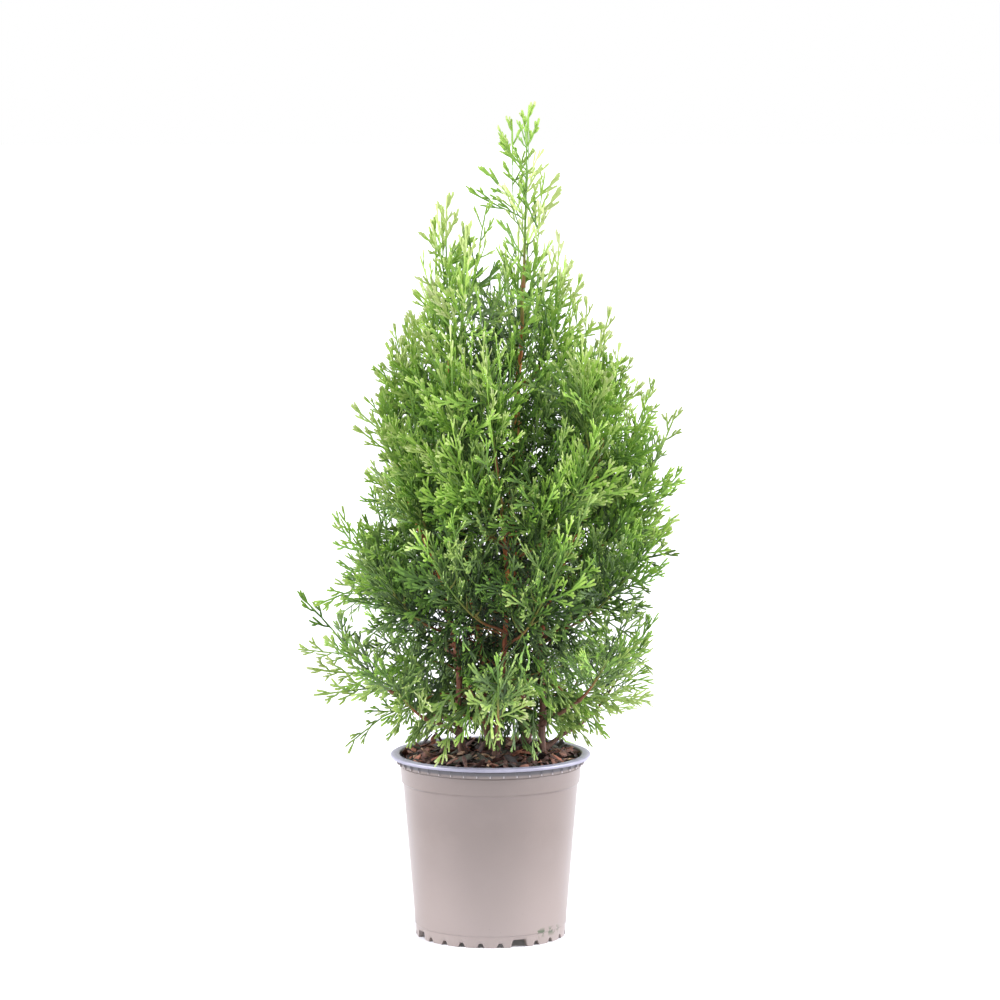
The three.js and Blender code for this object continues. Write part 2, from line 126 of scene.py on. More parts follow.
class Signal:
    # a number that varies over a surface, so that it can be written in sums
    def __init__(self, finish, socket):
        self.finish = finish
        self.socket = socket

    def __add__(self, other):
        return self.finish.maths("ADD", self, other)

    def __sub__(self, other):
        return self.finish.maths("SUBTRACT", self, other)

    def __rsub__(self, other):
        return self.finish.maths("SUBTRACT", other, self)

    def __mul__(self, other):
        return self.finish.maths("MULTIPLY", self, other)

    def power(self, other):
        return self.finish.maths("POWER", self, other)

    def over(self, low, high):
        # 0 below low, 1 above high
        settings = {"clamp": True}
        made = self.finish.node("ShaderNodeMapRange", settings, {0: self, 1: low, 2: high})
        return Signal(self.finish, made.outputs[0])

    def within(self, rising, falling):
        # 1 between two ranges, 0 outside them
        return self.over(*rising) * (1 - self.over(*falling))

    __radd__ = __add__
    __rmul__ = __mul__


class Finish:
    # one material: nodes come from node(), sums from Signals, fixed values from the shader's own sockets
    def __init__(self, name, roughness, specular):
        self.material = bpy.data.materials.new(name)
        self.material.use_nodes = True
        self.tree = self.material.node_tree
        self.shader = self.tree.nodes["Principled BSDF"]
        self.feed("Roughness", roughness)
        self.feed("Specular IOR Level", specular)

    def link(self, socket, value):
        # a fixed colour comes as red, green and blue, and its socket takes an opaque fourth
        if isinstance(value, Signal):
            value = value.socket
        if isinstance(value, bpy.types.NodeSocket):
            self.tree.links.new(value, socket)
        else:
            socket.default_value = (*value, 1) if socket.type == "RGBA" else value

    def feed(self, name, value):
        self.link(self.shader.inputs[name], value)

    def node(self, kind, settings=None, inputs=None):
        made = self.tree.nodes.new(kind)
        for key, value in (settings or {}).items():
            if key == "stops":
                ramp = made.color_ramp
                while len(ramp.elements) < len(value):
                    ramp.elements.new(0.5)
                for element, (place, base) in zip(ramp.elements, value):
                    element.position = place
                    element.color = (*base, 1)
            else:
                setattr(made, key, value)
        for key, value in (inputs or {}).items():
            self.link(made.inputs[key], value)
        return made

    def maths(self, operation, first, second):
        made = self.node("ShaderNodeMath", {"operation": operation}, {0: first, 1: second})
        return Signal(self, made.outputs[0])

    def place(self, stretch=(1, 1, 1)):
        coordinates = self.node("ShaderNodeTexCoord").outputs["Object"]
        mapped = self.node("ShaderNodeMapping", {}, {"Vector": coordinates, "Scale": stretch})
        return mapped.outputs[0]

    def noise(self, scale, detail, stretch=(1, 1, 1), roughness=0.55):
        inputs = {"Vector": self.place(stretch), "Scale": scale, "Detail": detail, "Roughness": roughness}
        return Signal(self, self.node("ShaderNodeTexNoise", {}, inputs).outputs[0])

    def patches(self, scale, detail, low, high):
        # patches of noise, 0 where it is below low and 1 above high
        return self.noise(scale, detail).over(low, high)

    def axis(self, letter):
        split = self.node("ShaderNodeSeparateXYZ", {}, {0: self.place()})
        return Signal(self, split.outputs[letter])

    def attribute(self, name):
        return Signal(self, self.node("ShaderNodeAttribute", {"attribute_name": name}).outputs["Fac"])

    def ramp(self, signal, stops):
        return self.node("ShaderNodeValToRGB", {"stops": stops}, {0: signal}).outputs[0]

    def blend(self, share, first, second):
        settings = {"data_type": "RGBA"}
        return self.node("ShaderNodeMix", settings, {0: share, 6: first, 7: second}).outputs[2]

    def bump(self, height, distance, strength):
        inputs = {"Height": height, "Distance": distance, "Strength": strength}
        self.feed("Normal", self.node("ShaderNodeBump", {}, inputs).outputs[0])


def colour(red, green, blue):
    # linear values of an 8-bit colour
    levels = np.array([red, green, blue]) / 255
    linear = np.where(levels <= 0.04045, levels / 12.92, ((levels + 0.055) / 1.055) ** 2.4)
    return tuple(float(level) for level in linear)


def linearStops(stops):
    # a ramp's stops, their 8-bit colours made linear
    return [(place, colour(*base)) for place, base in stops]


# Metres, degrees and millimetres of lens.
cameraView = {
    "distance": 4.0,
    "height": 0.854,
    "side": 0.009,
    "tiltDown": 6.22,
    "lens": 152.5,
    "sensor": 36,
}


def placeCamera(view):
    data = bpy.data.cameras.new("plantCamera")
    data.sensor_width = view["sensor"]
    data.lens = view["lens"]
    camera = bpy.data.objects.new("plantCamera", data)
    camera.location = (view["side"], -view["distance"], view["height"])
    camera.rotation_euler = (math.radians(90 - view["tiltDown"]), 0, 0)
    bpy.context.scene.collection.objects.link(camera)
    bpy.context.scene.camera = camera


placeCamera(cameraView)


plantShape = {
    "soilTop": 171,
    "clearance": 0.3,
    "crownCentre": (4, -4, 0),
    "uprightFoot": 18,
    "stepsPerSpan": 3,
    "limbSteps": 6,
    "flareGain": 0.5,
    "flareLength": 9,
    "boughRadius": (2.3, 1.5),
    "spineRadius": (1.5, 0.8),
    "bendShare": 0.32,
    "elbowRise": 0.25,
    "nearlyStraight": 0.05,
    "belowTip": 20,
    "rootStagger": 9,
    "turnWobble": 0.3,
    "rootTries": (0, 1, -1, 2, -2, 3, -3, 4),
    "rootStep": 8,
    "turnStep": 0.05,
    "passSamples": 60,
    "tipInset": 20,
    "limbSpace": 1.2,
    "crownTop": 799,
    "leaderFan": 0.3,
}

# Each stem: its foot on the soil, the places it passes, its tip, and its radius at foot and tip.
stems = [
    {"name": "trunk", "foot": (32, 20), "through": [(26, 12, 270), (20, 2, 400), (26, 0, 520)],
     "tip": (31, 0, 620), "radius": (4.8, 1.5)},
    {"name": "stem_left_leader", "foot": (-3, -2), "through": [(-10, -4, 275), (-36, 0, 440)],
     "tip": (-40, 2, 560), "radius": (3.6, 1.3)},
    {"name": "stem_left", "foot": (-28, -16), "through": [(-38, -16, 310), (-74, -12, 410)],
     "tip": (-88, -8, 452), "radius": (3.2, 1.3)},
    {"name": "stem_front", "foot": (6, -31), "through": [(15, -38, 300), (14, -54, 380)],
     "tip": (6, -70, 452), "radius": (3.0, 1.3)},
    {"name": "stem_right", "foot": (50, -2), "through": [(50, -6, 300), (86, -8, 400)],
     "tip": (108, -2, 478), "radius": (3.4, 1.3)},
    {"name": "stem_back", "foot": (8, 42), "through": [(4, 52, 300), (-4, 74, 400)],
     "tip": (-2, 86, 476), "radius": (3.2, 1.3)},
]

# Reach of the crown from its axis at each height, to the left and to the right.
crownRows = {
    "height": (185, 245, 310, 400, 460, 530, 590, 660, 720),
    "left": (122, 152, 184, 150, 116, 122, 92, 76, 44),
    "right": (96, 140, 172, 184, 180, 154, 106, 70, 54),
}

# Rings of foliage masses, from the rim up, and the mass that carries each stem on to its tip.
rings = [
    {"name": "droop", "count": 5, "turn": -158, "tip": 196, "root": 236, "wave": 6, "fan": 1, "blades": 5,
     "length": 58, "sag": 0.3, "frontLift": 42, "rising": 0, "layers": 1, "twigs": 0},
    {"name": "skirt", "count": 8, "turn": 2, "tip": 280, "root": 204, "wave": 28, "fan": 0.6, "blades": 7,
     "length": 74, "sag": 0.1, "bough": 0.5, "rising": 0.2, "layers": 1, "twigs": 0},
    {"name": "lower", "count": 8, "turn": 24, "tip": 372, "root": 292, "wave": 16, "fan": 0.55, "blades": 7,
     "length": 84, "layers": 2, "twigs": 5},
    {"name": "middle", "count": 7, "turn": -6, "tip": 462, "root": 376, "wave": 14, "fan": 0.5, "blades": 7,
     "length": 82, "layers": 3, "twigs": 6},
    {"name": "upper", "count": 5, "turn": 24, "tip": 548, "root": 456, "wave": 12, "fan": 0.5, "blades": 7,
     "length": 76, "layers": 3, "twigs": 7},
    {"name": "crown", "count": 4, "turn": -16, "tip": 632, "root": 540, "wave": 10, "fan": 0.4, "blades": 6,
     "length": 60, "layers": 2, "twigs": 4},
]
leaders = [
    {"stem": "trunk", "tip": (34, 0, 752), "blades": 11, "length": 64, "layers": 0, "twigs": 3,
     "tipSpray": 46},
    {"stem": "stem_left_leader", "tip": (-42, 2, 664), "blades": 9, "length": 58, "layers": 0, "twigs": 3},
    {"stem": "stem_left", "tip": (-98, -10, 516), "blades": 7, "length": 60, "layers": 2, "twigs": 4},
    {"stem": "stem_front", "tip": (-2, -92, 540), "blades": 7, "length": 74, "layers": 3, "twigs": 6},
    {"stem": "stem_right", "tip": (118, 2, 532), "blades": 7, "length": 58, "layers": 2, "twigs": 5},
    {"stem": "stem_back", "tip": (4, 92, 560), "blades": 7, "length": 74, "layers": 3, "twigs": 6},
]


class Limb:
    # a tapering limb: centre = curve(t) and radius = radiusAt(t), t from 0 to 1, also kept at its rings
    def __init__(self, name, curve, steps, radiusAt, sideways, start):
        shares = np.arange(steps + 1) / steps
        self.name, self.curve, self.steps, self.radiusAt = name, curve, steps, radiusAt
        self.sideways, self.start = sideways, start
        self.centres = curve(shares)
        self.radii = radiusAt(shares)
        self.seat = self.centres[0]

    def ring(self, along):
        place = min(along * self.steps, self.steps - 1e-6)
        return int(place), place - int(place)

    def point(self, along):
        ring, share = self.ring(along)
        return mix(self.centres[ring], self.centres[ring + 1], share)

    def radius(self, along):
        ring, share = self.ring(along)
        return mix(self.radii[ring], self.radii[ring + 1], share)

    def direction(self, along):
        ring = self.ring(along)[0]
        return unit(self.centres[ring + 1] - self.centres[ring])

    def alongAtHeight(self, height):
        for ring in range(self.steps):
            low, high = self.centres[ring, 2], self.centres[ring + 1, 2]
            if height <= high:
                return (ring + max(0, height - low) / (high - low)) / self.steps
        return 1


def smoothThrough(places):
    # Catmull-Rom with half chords a and b: here + a t + (-3 here + 3 there - 2 a - b) t^2
    # + (2 here - 2 there + a + b) t^3
    padded = np.vstack([2 * places[0] - places[1], places, 2 * places[-1] - places[-2]])

    def curve(shares):
        spot = np.asarray(shares, float) * (len(places) - 1)
        span = np.minimum(spot.astype(int), len(places) - 2)
        t = (spot - span)[:, None]
        before, here, there, after = (padded[span + offset] for offset in range(4))
        leave, arrive = 0.5 * (there - before), 0.5 * (after - here)
        square = -3 * here + 3 * there - 2 * leave - arrive
        cube = 2 * here - 2 * there + leave + arrive
        return here + leave * t + square * t ** 2 + cube * t ** 3
    return curve


def growStem(stem, shape):
    foot = np.array([*stem["foot"], shape["soilTop"] + shape["clearance"]], float)
    places = np.array([foot, foot + upward * shape["uprightFoot"], *stem["through"], stem["tip"]], float)
    curve = smoothThrough(places)
    height = stem["tip"][2] - shape["soilTop"]

    def radiusAt(shares):
        rise = curve(shares)[:, 2] - foot[2]
        swell = 1 + shape["flareGain"] * np.exp(-rise / shape["flareLength"])
        return mix(*stem["radius"], rise / height) * swell
    steps = (len(places) - 1) * shape["stepsPerSpan"]
    return Limb(stem["name"], curve, steps, radiusAt, np.array([0.0, 1.0, 0.0]), upward)


def growFrom(name, parent, along, tip, radius, shape):
    # leaves its parent square to it, bends once: c = (1-t)^2 root + 2 t (1-t) bend + t^2 tip
    atEnd = along >= 1
    seat = parent.point(along)
    parentWay = parent.direction(along)
    toTip = tip - seat
    outward = parentWay if atEnd else unit(toTip - parentWay * (toTip @ parentWay))
    root = seat + outward * (shape["clearance"] + (0 if atEnd else parent.radius(along)))
    span = tip - root
    bend = root + outward * np.linalg.norm(span) * shape["bendShare"]
    sideways = np.cross(span, outward)
    if np.linalg.norm(sideways) < np.linalg.norm(span) * shape["nearlyStraight"]:
        sideways = np.cross(span, [1.0, 0.0, 0.0])

    def curve(shares):
        t = np.asarray(shares, float)[:, None]
        return (1 - t) ** 2 * root + 2 * (1 - t) * t * bend + t ** 2 * tip

    def radiusAt(shares):
        return mix(*radius, np.asarray(shares, float))
    limb = Limb(name, curve, shape["limbSteps"], radiusAt, unit(sideways), outward)
    limb.seat = seat
    return limb


def limbDistances(points, limbs):
    # distance of each point to each limb's surface: to the nearest of its straight steps, less the radius
    starts = np.concatenate([limb.centres[:-1] for limb in limbs])
    steps = np.concatenate([np.diff(limb.centres, axis=0) for limb in limbs])
    radii = np.concatenate([limb.radii[:-1] for limb in limbs])
    firsts = np.cumsum([0] + [limb.steps for limb in limbs[:-1]])
    toPoint = points[:, None] - starts
    share = np.clip((toPoint * steps).sum(-1) / (steps * steps).sum(-1), 0, 1)
    gaps = np.linalg.norm(toPoint - share[..., None] * steps, axis=-1) - radii
    return np.minimum.reduceat(gaps, firsts, axis=1)


def passesClear(limb, others, shape):
    # room to spare between one limb and the others, all along it
    shares = np.arange(shape["passSamples"] + 1) / shape["passSamples"]
    places = np.array([limb.point(share) for share in shares])
    room = np.array([limb.radius(share) for share in shares]) + shape["limbSpace"]
    return bool((limbDistances(places, others) >= room[:, None]).all())


def crownReach(height, azimuth):
    # the left and the right reach, mixed by the cosine of the azimuth
    left = np.interp(height, crownRows["height"], crownRows["left"])
    right = np.interp(height, crownRows["height"], crownRows["right"])
    return mix(left, right, (1 + np.cos(azimuth)) / 2)


def nearestStem(stemLimbs, height, tip, shape):
    # the stem nearest the tip at a height, those that end below it held further off
    best = None
    for limb in stemLimbs:
        top = limb.centres[-1, 2]
        seat = limb.point(limb.alongAtHeight(min(height, top - shape["belowTip"])))
        beyond = max(0, height - top + shape["belowTip"])
        distance = math.hypot(tip[0] - seat[0], tip[1] - seat[1]) + beyond
        if best is None or distance < best[1]:
            best = (limb, distance, top)
    return best[0], best[2]


def tryMass(stemLimbs, ring, ringIndex, i, step, shape):
    # one mass of a ring: its tip at the crown's reach, its root on the nearest stem, moved on by each step
    wobble = shape["turnWobble"] * (chance(2, ringIndex, i) - 0.5)
    azimuth = math.radians(ring["turn"] + (i + wobble) * 360 / ring["count"]) + step * shape["turnStep"]
    lift = ring.get("frontLift", 0) * max(0, -math.sin(azimuth))
    tipHeight = ring["tip"] + ring["wave"] * (2 * chance(3, ringIndex, i) - 1) + lift
    reach = crownReach(tipHeight, azimuth) - shape["tipInset"]
    tip = np.array([reach * math.cos(azimuth), reach * math.sin(azimuth), tipHeight]) + shape["crownCentre"]
    stagger = (i % 3 - 1) * shape["rootStagger"]
    rootHeight = ring["root"] + stagger + (tipHeight - ring["tip"]) * 0.5 + step * shape["rootStep"]
    stem, top = nearestStem(stemLimbs, rootHeight, tip, shape)
    along = stem.alongAtHeight(min(rootHeight, top - shape["belowTip"]))
    spineName = "foliage_%s_%d" % (ring["name"], i + 1)
    if "bough" not in ring:
        return stem, None, growFrom(spineName, stem, along, tip, shape["spineRadius"], shape)
    seat = stem.point(along)
    elbow = mix(seat, tip, ring["bough"])
    elbow[2] = mix(seat[2], tip[2], shape["elbowRise"])
    boughName = "bough_%s_%d" % (ring["name"], i + 1)
    bough = growFrom(boughName, stem, along, elbow, shape["boughRadius"], shape)
    return stem, bough, growFrom(spineName, bough, 1, tip, shape["spineRadius"], shape)


def plantLimbs(shape):
    # stems, then the masses at their tips, then ring by ring the masses that pass clear of what is there
    stemLimbs = [growStem(stem, shape) for stem in stems]
    boughs, spines = [], []
    for leader in leaders:
        parent = next(limb for limb in stemLimbs if limb.name == leader["stem"])
        name = "foliage_tip_" + leader["stem"].replace("stem_", "")
        spine = growFrom(name, parent, 1, np.array(leader["tip"], float), shape["spineRadius"], shape)
        spine.growth = {"fan": shape["leaderFan"], **leader}
        spines.append(spine)
    for ringIndex, ring in enumerate(rings):
        for i in range(ring["count"]):
            for step in shape["rootTries"]:
                parent, bough, spine = tryMass(stemLimbs, ring, ringIndex, i, step, shape)
                others = [limb for limb in stemLimbs + boughs + spines if limb is not parent]
                grown = [spine] if bough is None else [bough, spine]
                if all(passesClear(limb, others, shape) for limb in grown):
                    break
            if bough is not None:
                boughs.append(bough)
            spine.growth = ring
            spines.append(spine)
    return stemLimbs, boughs, spines


stemLimbs, boughs, spines = plantLimbs(plantShape)
print("limbs: %d stems, %d boughs, %d masses" % (len(stemLimbs), len(boughs), len(spines)))


# The solids' blades stand alternately along each mass's spine; each one becomes a fine spray.
bladeRule = {
    "firstBlade": 0.2,
    "lastBlade": 0.95,
    "tipSeat": 0.97,
    "tipLength": 48,
    "angle": 0.74,
    "shrink": 0.5,
    "rollSpread": 1.9,
    "longFrom": 46,
    "ownSpace": 1.6,
    "bladeSpace": 2.4,
    "overPotRadius": 98,
    "lowestOverPot": 182,
    "tries": ((1, 0), (1, 0.7), (1, -0.7), (0.8, 0), (0.8, 0.7), (0.8, -0.7), (0.6, 0)),
}
longBlade = {
    "edge": ((0.2, 0.025), (0.5, 0.3), (0.42, 0.075), (0.72, 0.25), (0.64, 0.06), (0.88, 0.13)),
    "ridge": (0.3, 0.52, 0.75),
}
shortBlade = {
    "edge": ((0.24, 0.03), (0.6, 0.3), (0.5, 0.075), (0.86, 0.18)),
    "ridge": (0.36, 0.65),
}

# Finer sprays between the blades, and short ones inside the crown along each stem.
fillRule = {
    "layers": (
        {"offset": 0.5, "turn": 1.4, "share": 0.95, "key": 10, "rise": 0.8},
        {"offset": 0.25, "turn": -1.3, "share": 0.85, "key": 20, "rise": 1.4},
        {"offset": 0.75, "turn": 0.6, "share": 0.75, "key": 50, "rise": 1.1},
    ),
    "reachTests": (0.4, 0.7, 1.0),
    "reachSpare": 2,
    "droop": 0.3,
    "innerFrom": 204,
    "innerStep": 11,
    "innerLength": (40, 62),
    "innerAngle": 1.0,
    "lowBelow": 260,
    "lowSag": 1.2,
    "lowTone": 0.7,
    "openFrom": 370,
    "openLength": (52, 80),
    "openAngle": 0.6,
    "deadBelow": 318,
    "deadShare": 0.16,
}

# Side twigs on the spines, each with its own few sprays.
twigRule = {
    "from": 0.3,
    "to": 0.85,
    "angle": (0.5, 0.85),
    "rise": 0.8,
    "length": (54, 88),
    "shrink": 0.3,
    "lengthTries": (1, 0.8, 0.6),
    "radius": (0.75, 0.4),
    "blades": 5,
    "spray": 62,
    "tipSpray": 44,
    "tipReach": 0.7,
    "fan": 0.5,
}

# Twigs straight from the stems: level and drooping low down, steeper and rising above.
stemTwigRule = {
    "from": 208,
    "step": 11.5,
    "drooping": 290,
    "rising": 420,
    "angle": (0.82, 1.35),
    "length": (60, 118),
    "sag": 0.9,
    "rise": 0.45,
    "reachShare": 0.83,
    "closeFrom": 385,
    "closeTo": 545,
    "closeStep": 7,
    "plumeStems": 2,
}

# Twigs of the first stem that close a gap between the masses: height and direction in degrees.
gapTwigRule = {
    "places": ((402, -74), (418, -48), (432, -62), (448, -38), (462, -70), (478, -54), (494, -42)),
    "angle": 1.0,
    "rise": 0.35,
    "length": 96,
    "moreBlades": 1,
}

# Words in a mass's name that give its sprays their kind; above a height all but the slender are spires.
kindRule = {
    "slender": ("skirt_1", "skirt_8"),
    "spireFrom": 590,
    "comb": ("skirt", "droop"),
    "plume": ("tip", "crown", "upper"),
}

# First key and keys per owner, so that no two sprays or twigs are dealt the same chances.
keyPlan = {
    "massSpray": (0, 128),
    "sideTwig": (100, 8),
    "stemTwig": (600, 50),
    "innerSpray": (9000, 200),
    "stemTwigSpray": (20000, 500),
}
keysPerTwig = 8


def keyOf(group, owner, number):
    # the whole number that one spray or twig gives to chance()
    first, perOwner = keyPlan[group]
    return first + owner * perOwner + number


def outFrom(limb, along, turn):
    # the limb's direction, and one square to it at a turn about it
    way = limb.direction(along)
    across = unit(np.cross(limb.sideways, way))
    return way, across * math.cos(turn) + limb.sideways * math.sin(turn)


def bladeSpray(spine, spineIndex, k, turn, layer=None):
    # a blade's own axes: forward leaves the spine at an angle, rolled about it; normal is square to its face
    rule, growth = bladeRule, spine.growth
    key = layer["key"] if layer else 0
    last = growth["blades"] - 1
    atTip = k == last and not layer
    share = (k + (layer["offset"] if layer else 0)) / last
    along = rule["tipSeat"] if atTip else mix(rule["firstBlade"], rule["lastBlade"], share)
    spread = (chance(4 + key, spineIndex, k) - 0.5) * rule["rollSpread"]
    way, out = outFrom(spine, along, growth["fan"] * math.pi / 2 + spread + turn)
    hand = -1 if k % 2 else 1
    angle = rule["angle"] * varied(5 + key, spineIndex, k)
    forward = way.copy() if atTip else way * math.cos(angle) + out * hand * math.sin(angle)
    forward[2] += (layer["rise"] * growth.get("rising", 1) if layer else 0) - growth.get("sag", 0)
    forward = unit(forward)
    normal = unit(np.cross(way, out if atTip else forward))
    normal = unit(normal - forward * (normal @ forward))
    shrink = (1 - rule["shrink"] * along) * varied(6 + key, spineIndex, k)
    length = growth.get("tipSpray", rule["tipLength"]) if atTip else growth["length"] * shrink
    return {"root": spine.point(along), "forward": forward, "normal": normal,
            "side": np.cross(normal, forward), "length": length}


def outlinePlaces(blade, spray):
    # where a blade's teeth, valleys, ridge and tip lie
    teeth = [((u + crest) / 2, v / 2) for (u, v), crest in zip(blade["edge"][1::2], blade["ridge"])]
    half = list(blade["edge"][1:]) + teeth
    spots = np.array(half + [(u, -v) for u, v in half] + [(u, 0) for u in blade["ridge"]] + [(1, 0)])
    flat = spots[:, :1] * spray["forward"] + spots[:, 1:] * spray["side"]
    return spray["root"] + spray["length"] * flat


def clearOfPot(places):
    # nothing lies low over the soil or the rim
    over = np.hypot(places[:, 0], places[:, 1]) < bladeRule["overPotRadius"]
    return not (over & (places[:, 2] < bladeRule["lowestOverPot"])).any()


def hasRoom(spray, own):
    # a blade stays clear of the pot, the stems and the boughs, and nearer its own spine than the others
    blade = longBlade if spray["length"] > bladeRule["longFrom"] else shortBlade
    places = outlinePlaces(blade, spray)
    toLimbs = limbDistances(places, stemLimbs + boughs)
    if not clearOfPot(places) or (toLimbs < bladeRule["bladeSpace"]).any():
        return False
    gaps = limbDistances(places, spines)
    others = np.delete(gaps, own, axis=1)
    return bool((others > gaps[:, own:own + 1] + bladeRule["ownSpace"]).all())


def crownShare(place):
    # 0 on the crown's axis, 1 at its reach
    flat = place - plantShape["crownCentre"]
    return math.hypot(flat[0], flat[1]) / crownReach(place[2], math.atan2(flat[1], flat[0]))


def inReach(spray):
    # a filling spray stays over the soil or outside the rim, and within the crown
    tip = spray["root"] + spray["forward"] * spray["length"]
    tip = tip - upward * fillRule["droop"] * spray.get("sag", 0) * spray["length"]
    places = mix(spray["root"], tip, np.array(fillRule["reachTests"])[:, None])
    flat = tip - plantShape["crownCentre"]
    reach = crownReach(tip[2], math.atan2(flat[1], flat[0])) + fillRule["reachSpare"]
    return clearOfPot(places) and math.hypot(flat[0], flat[1]) < reach and tip[2] < plantShape["crownTop"]


def growTwig(name, limb, along, tip, sag, moreBlades=0):
    # a fine limb, with what its own sprays are grown by
    rule = twigRule
    twig = growFrom(name, limb, along, tip, rule["radius"], plantShape)
    twig.growth = {"fan": rule["fan"], "blades": rule["blades"] + moreBlades, "length": rule["spray"],
                   "tipSpray": rule["tipSpray"], "sag": sag}
    return twig


def sideTwigs(spine, own):
    # golden-angle places round the spine, leaning forward and up, shortened until the tip is in the crown
    rule = twigRule
    twigs = []
    count = spine.growth["twigs"]
    for j in range(count):
        along = mix(rule["from"], rule["to"], (j + 0.5) / count)
        way, out = outFrom(spine, along, (j + 5 * own) * goldenTurn)
        angle = mix(*rule["angle"], chance(60, own, j))
        forward = way * math.cos(angle) + out * math.sin(angle)
        forward = unit(forward + upward * rule["rise"] * spine.growth.get("rising", 1))
        full = mix(*rule["length"], chance(61, own, j)) * (1 - rule["shrink"] * along)
        for share in rule["lengthTries"]:
            reach = {"root": spine.point(along), "forward": forward,
                     "length": full * share + rule["tipSpray"] * rule["tipReach"]}
            if inReach(reach):
                name = "%s_twig_%d" % (spine.name, j)
                tip = reach["root"] + forward * (full * share)
                twigs.append(growTwig(name, spine, along, tip, spine.growth.get("sag", 0)))
                break
    return twigs


def stemTwigs(limb, stemIndex):
    # golden-angle twigs up a stem, their angle to it falling with height
    rule = stemTwigRule
    twigs = []
    height = rule["from"]
    number = 0
    while height < limb.centres[-1, 2] - plantShape["belowTip"]:
        along = limb.alongAtHeight(height)
        way, out = outFrom(limb, along, (number + 2 * stemIndex + 0.5) * goldenTurn)
        low = float(np.clip((rule["rising"] - height) / (rule["rising"] - rule["drooping"]), 0, 1))
        angle = mix(*rule["angle"], low) * varied(70, stemIndex, number)
        forward = unit(way * math.cos(angle) + out * math.sin(angle) + upward * rule["rise"] * (1 - low))
        full = mix(*rule["length"], chance(71, stemIndex, number))
        for share in twigRule["lengthTries"]:
            reach = {"root": limb.point(along), "forward": forward, "sag": rule["sag"] * low,
                     "length": full * share + twigRule["tipSpray"] * twigRule["tipReach"]}
            tip = reach["root"] + forward * full * share
            if inReach(reach) and crownShare(tip) < rule["reachShare"]:
                name = "%s_twig_%d" % (limb.name, number)
                twigs.append(growTwig(name, limb, along, tip, rule["sag"] * low))
                break
        close = rule["closeFrom"] < height < rule["closeTo"]
        height += rule["closeStep"] if close else rule["step"]
        number += 1
    return twigs


def closingTwigs(limb):
    # twigs of one stem at given heights and directions, all at one angle to it
    rule = gapTwigRule
    twigs = []
    for number, (height, direction) in enumerate(rule["places"]):
        along = limb.alongAtHeight(height)
        turn = math.radians(direction)
        out = np.array([math.cos(turn), math.sin(turn), 0])
        forward = limb.direction(along) * math.cos(rule["angle"]) + out * math.sin(rule["angle"])
        forward = unit(forward + upward * rule["rise"])
        tip = limb.point(along) + forward * rule["length"] * varied(72, number)
        name = "%s_closing_%d" % (limb.name, number)
        twigs.append(growTwig(name, limb, along, tip, 0, rule["moreBlades"]))
    return twigs


def kindOf(name, spray):
    # by the name of the spray's mass and the height of its root
    if any(word in name for word in kindRule["slender"]):
        return "slender"
    if spray["root"][2] > kindRule["spireFrom"]:
        return "spire"
    for kind in ("comb", "plume"):
        if any(word in name for word in kindRule[kind]):
            return kind
    return "fan"


def spraysOfMass(spine, own):
    # one for each of the solid's blades, then the finer ones between them and on the side twigs
    sprays = []
    blades = spine.growth["blades"]
    for k in range(blades):
        for share, turn in bladeRule["tries"]:
            spray = bladeSpray(spine, own, k, turn)
            spray["length"] *= share
            if hasRoom(spray, own):
                sprays.append(spray)
                break
    solid = len(sprays)
    for layer in fillRule["layers"][:spine.growth["layers"]]:
        for k in range(blades - 1):
            spray = bladeSpray(spine, own, k, layer["turn"], layer)
            spray["length"] *= layer["share"]
            if inReach(spray):
                sprays.append(spray)
    for number, twig in enumerate(spine.twigs):
        key = keyOf("sideTwig", own, number)
        onTwig = [bladeSpray(twig, key, k, 0) for k in range(twig.growth["blades"])]
        sprays += [spray for spray in onTwig if inReach(spray)]
    for number, spray in enumerate(sprays):
        spray.update(kind=kindOf(spine.name, spray), seed=keyOf("massSpray", own, number),
                     inner=number >= solid, sag=spine.growth.get("sag", 0))
    return sprays


def innerSprays(limb, stemIndex):
    # golden-angle places up a stem, where light is poor: short, dark, and brown low down
    rule = fillRule
    sprays = []
    height = rule["innerFrom"]
    number = 0
    while height < limb.centres[-1, 2] - plantShape["belowTip"]:
        along = limb.alongAtHeight(height)
        way, out = outFrom(limb, along, (number + 3 * stemIndex) * goldenTurn)
        opened = height > rule["openFrom"]
        low = height < rule["lowBelow"]
        dead = height < rule["deadBelow"] and chance(31, stemIndex, number) < rule["deadShare"]
        angle = rule["openAngle" if opened else "innerAngle"] * varied(30, stemIndex, number)
        forward = way * math.cos(angle) + out * math.sin(angle)
        lengths = rule["openLength" if opened else "innerLength"]
        spray = {
            "root": limb.point(along), "forward": forward, "normal": unit(np.cross(way, forward)),
            "length": mix(*lengths, chance(32, stemIndex, number)),
            "kind": "dead" if dead else "plume" if opened else "fan",
            "sag": rule["lowSag"] if low else 0, "inner": not low,
            "seed": keyOf("innerSpray", stemIndex, number)}
        if inReach(spray):
            sprays.append(spray)
        height += rule["innerStep"]
        number += 1
    return sprays


def spraysOfStem(limb, stemIndex):
    # the inner sprays, and those of the stem's own twigs: combs low down, plumes high on the tallest stems
    sprays = innerSprays(limb, stemIndex)
    highKind = "plume" if stemIndex < stemTwigRule["plumeStems"] else "fan"
    for number, twig in enumerate(limb.twigs):
        for k in range(twig.growth["blades"]):
            spray = bladeSpray(twig, keyOf("stemTwig", stemIndex, number), k, 0)
            if inReach(spray):
                high = spray["root"][2] > stemTwigRule["rising"]
                low = spray["root"][2] < stemTwigRule["drooping"]
                kind = highKind if high else "comb" if low else "fan"
                seed = keyOf("stemTwigSpray", stemIndex, number * keysPerTwig + k)
                spray.update(kind=kind, inner=high, sag=twig.growth["sag"], seed=seed)
                sprays.append(spray)
    return sprays


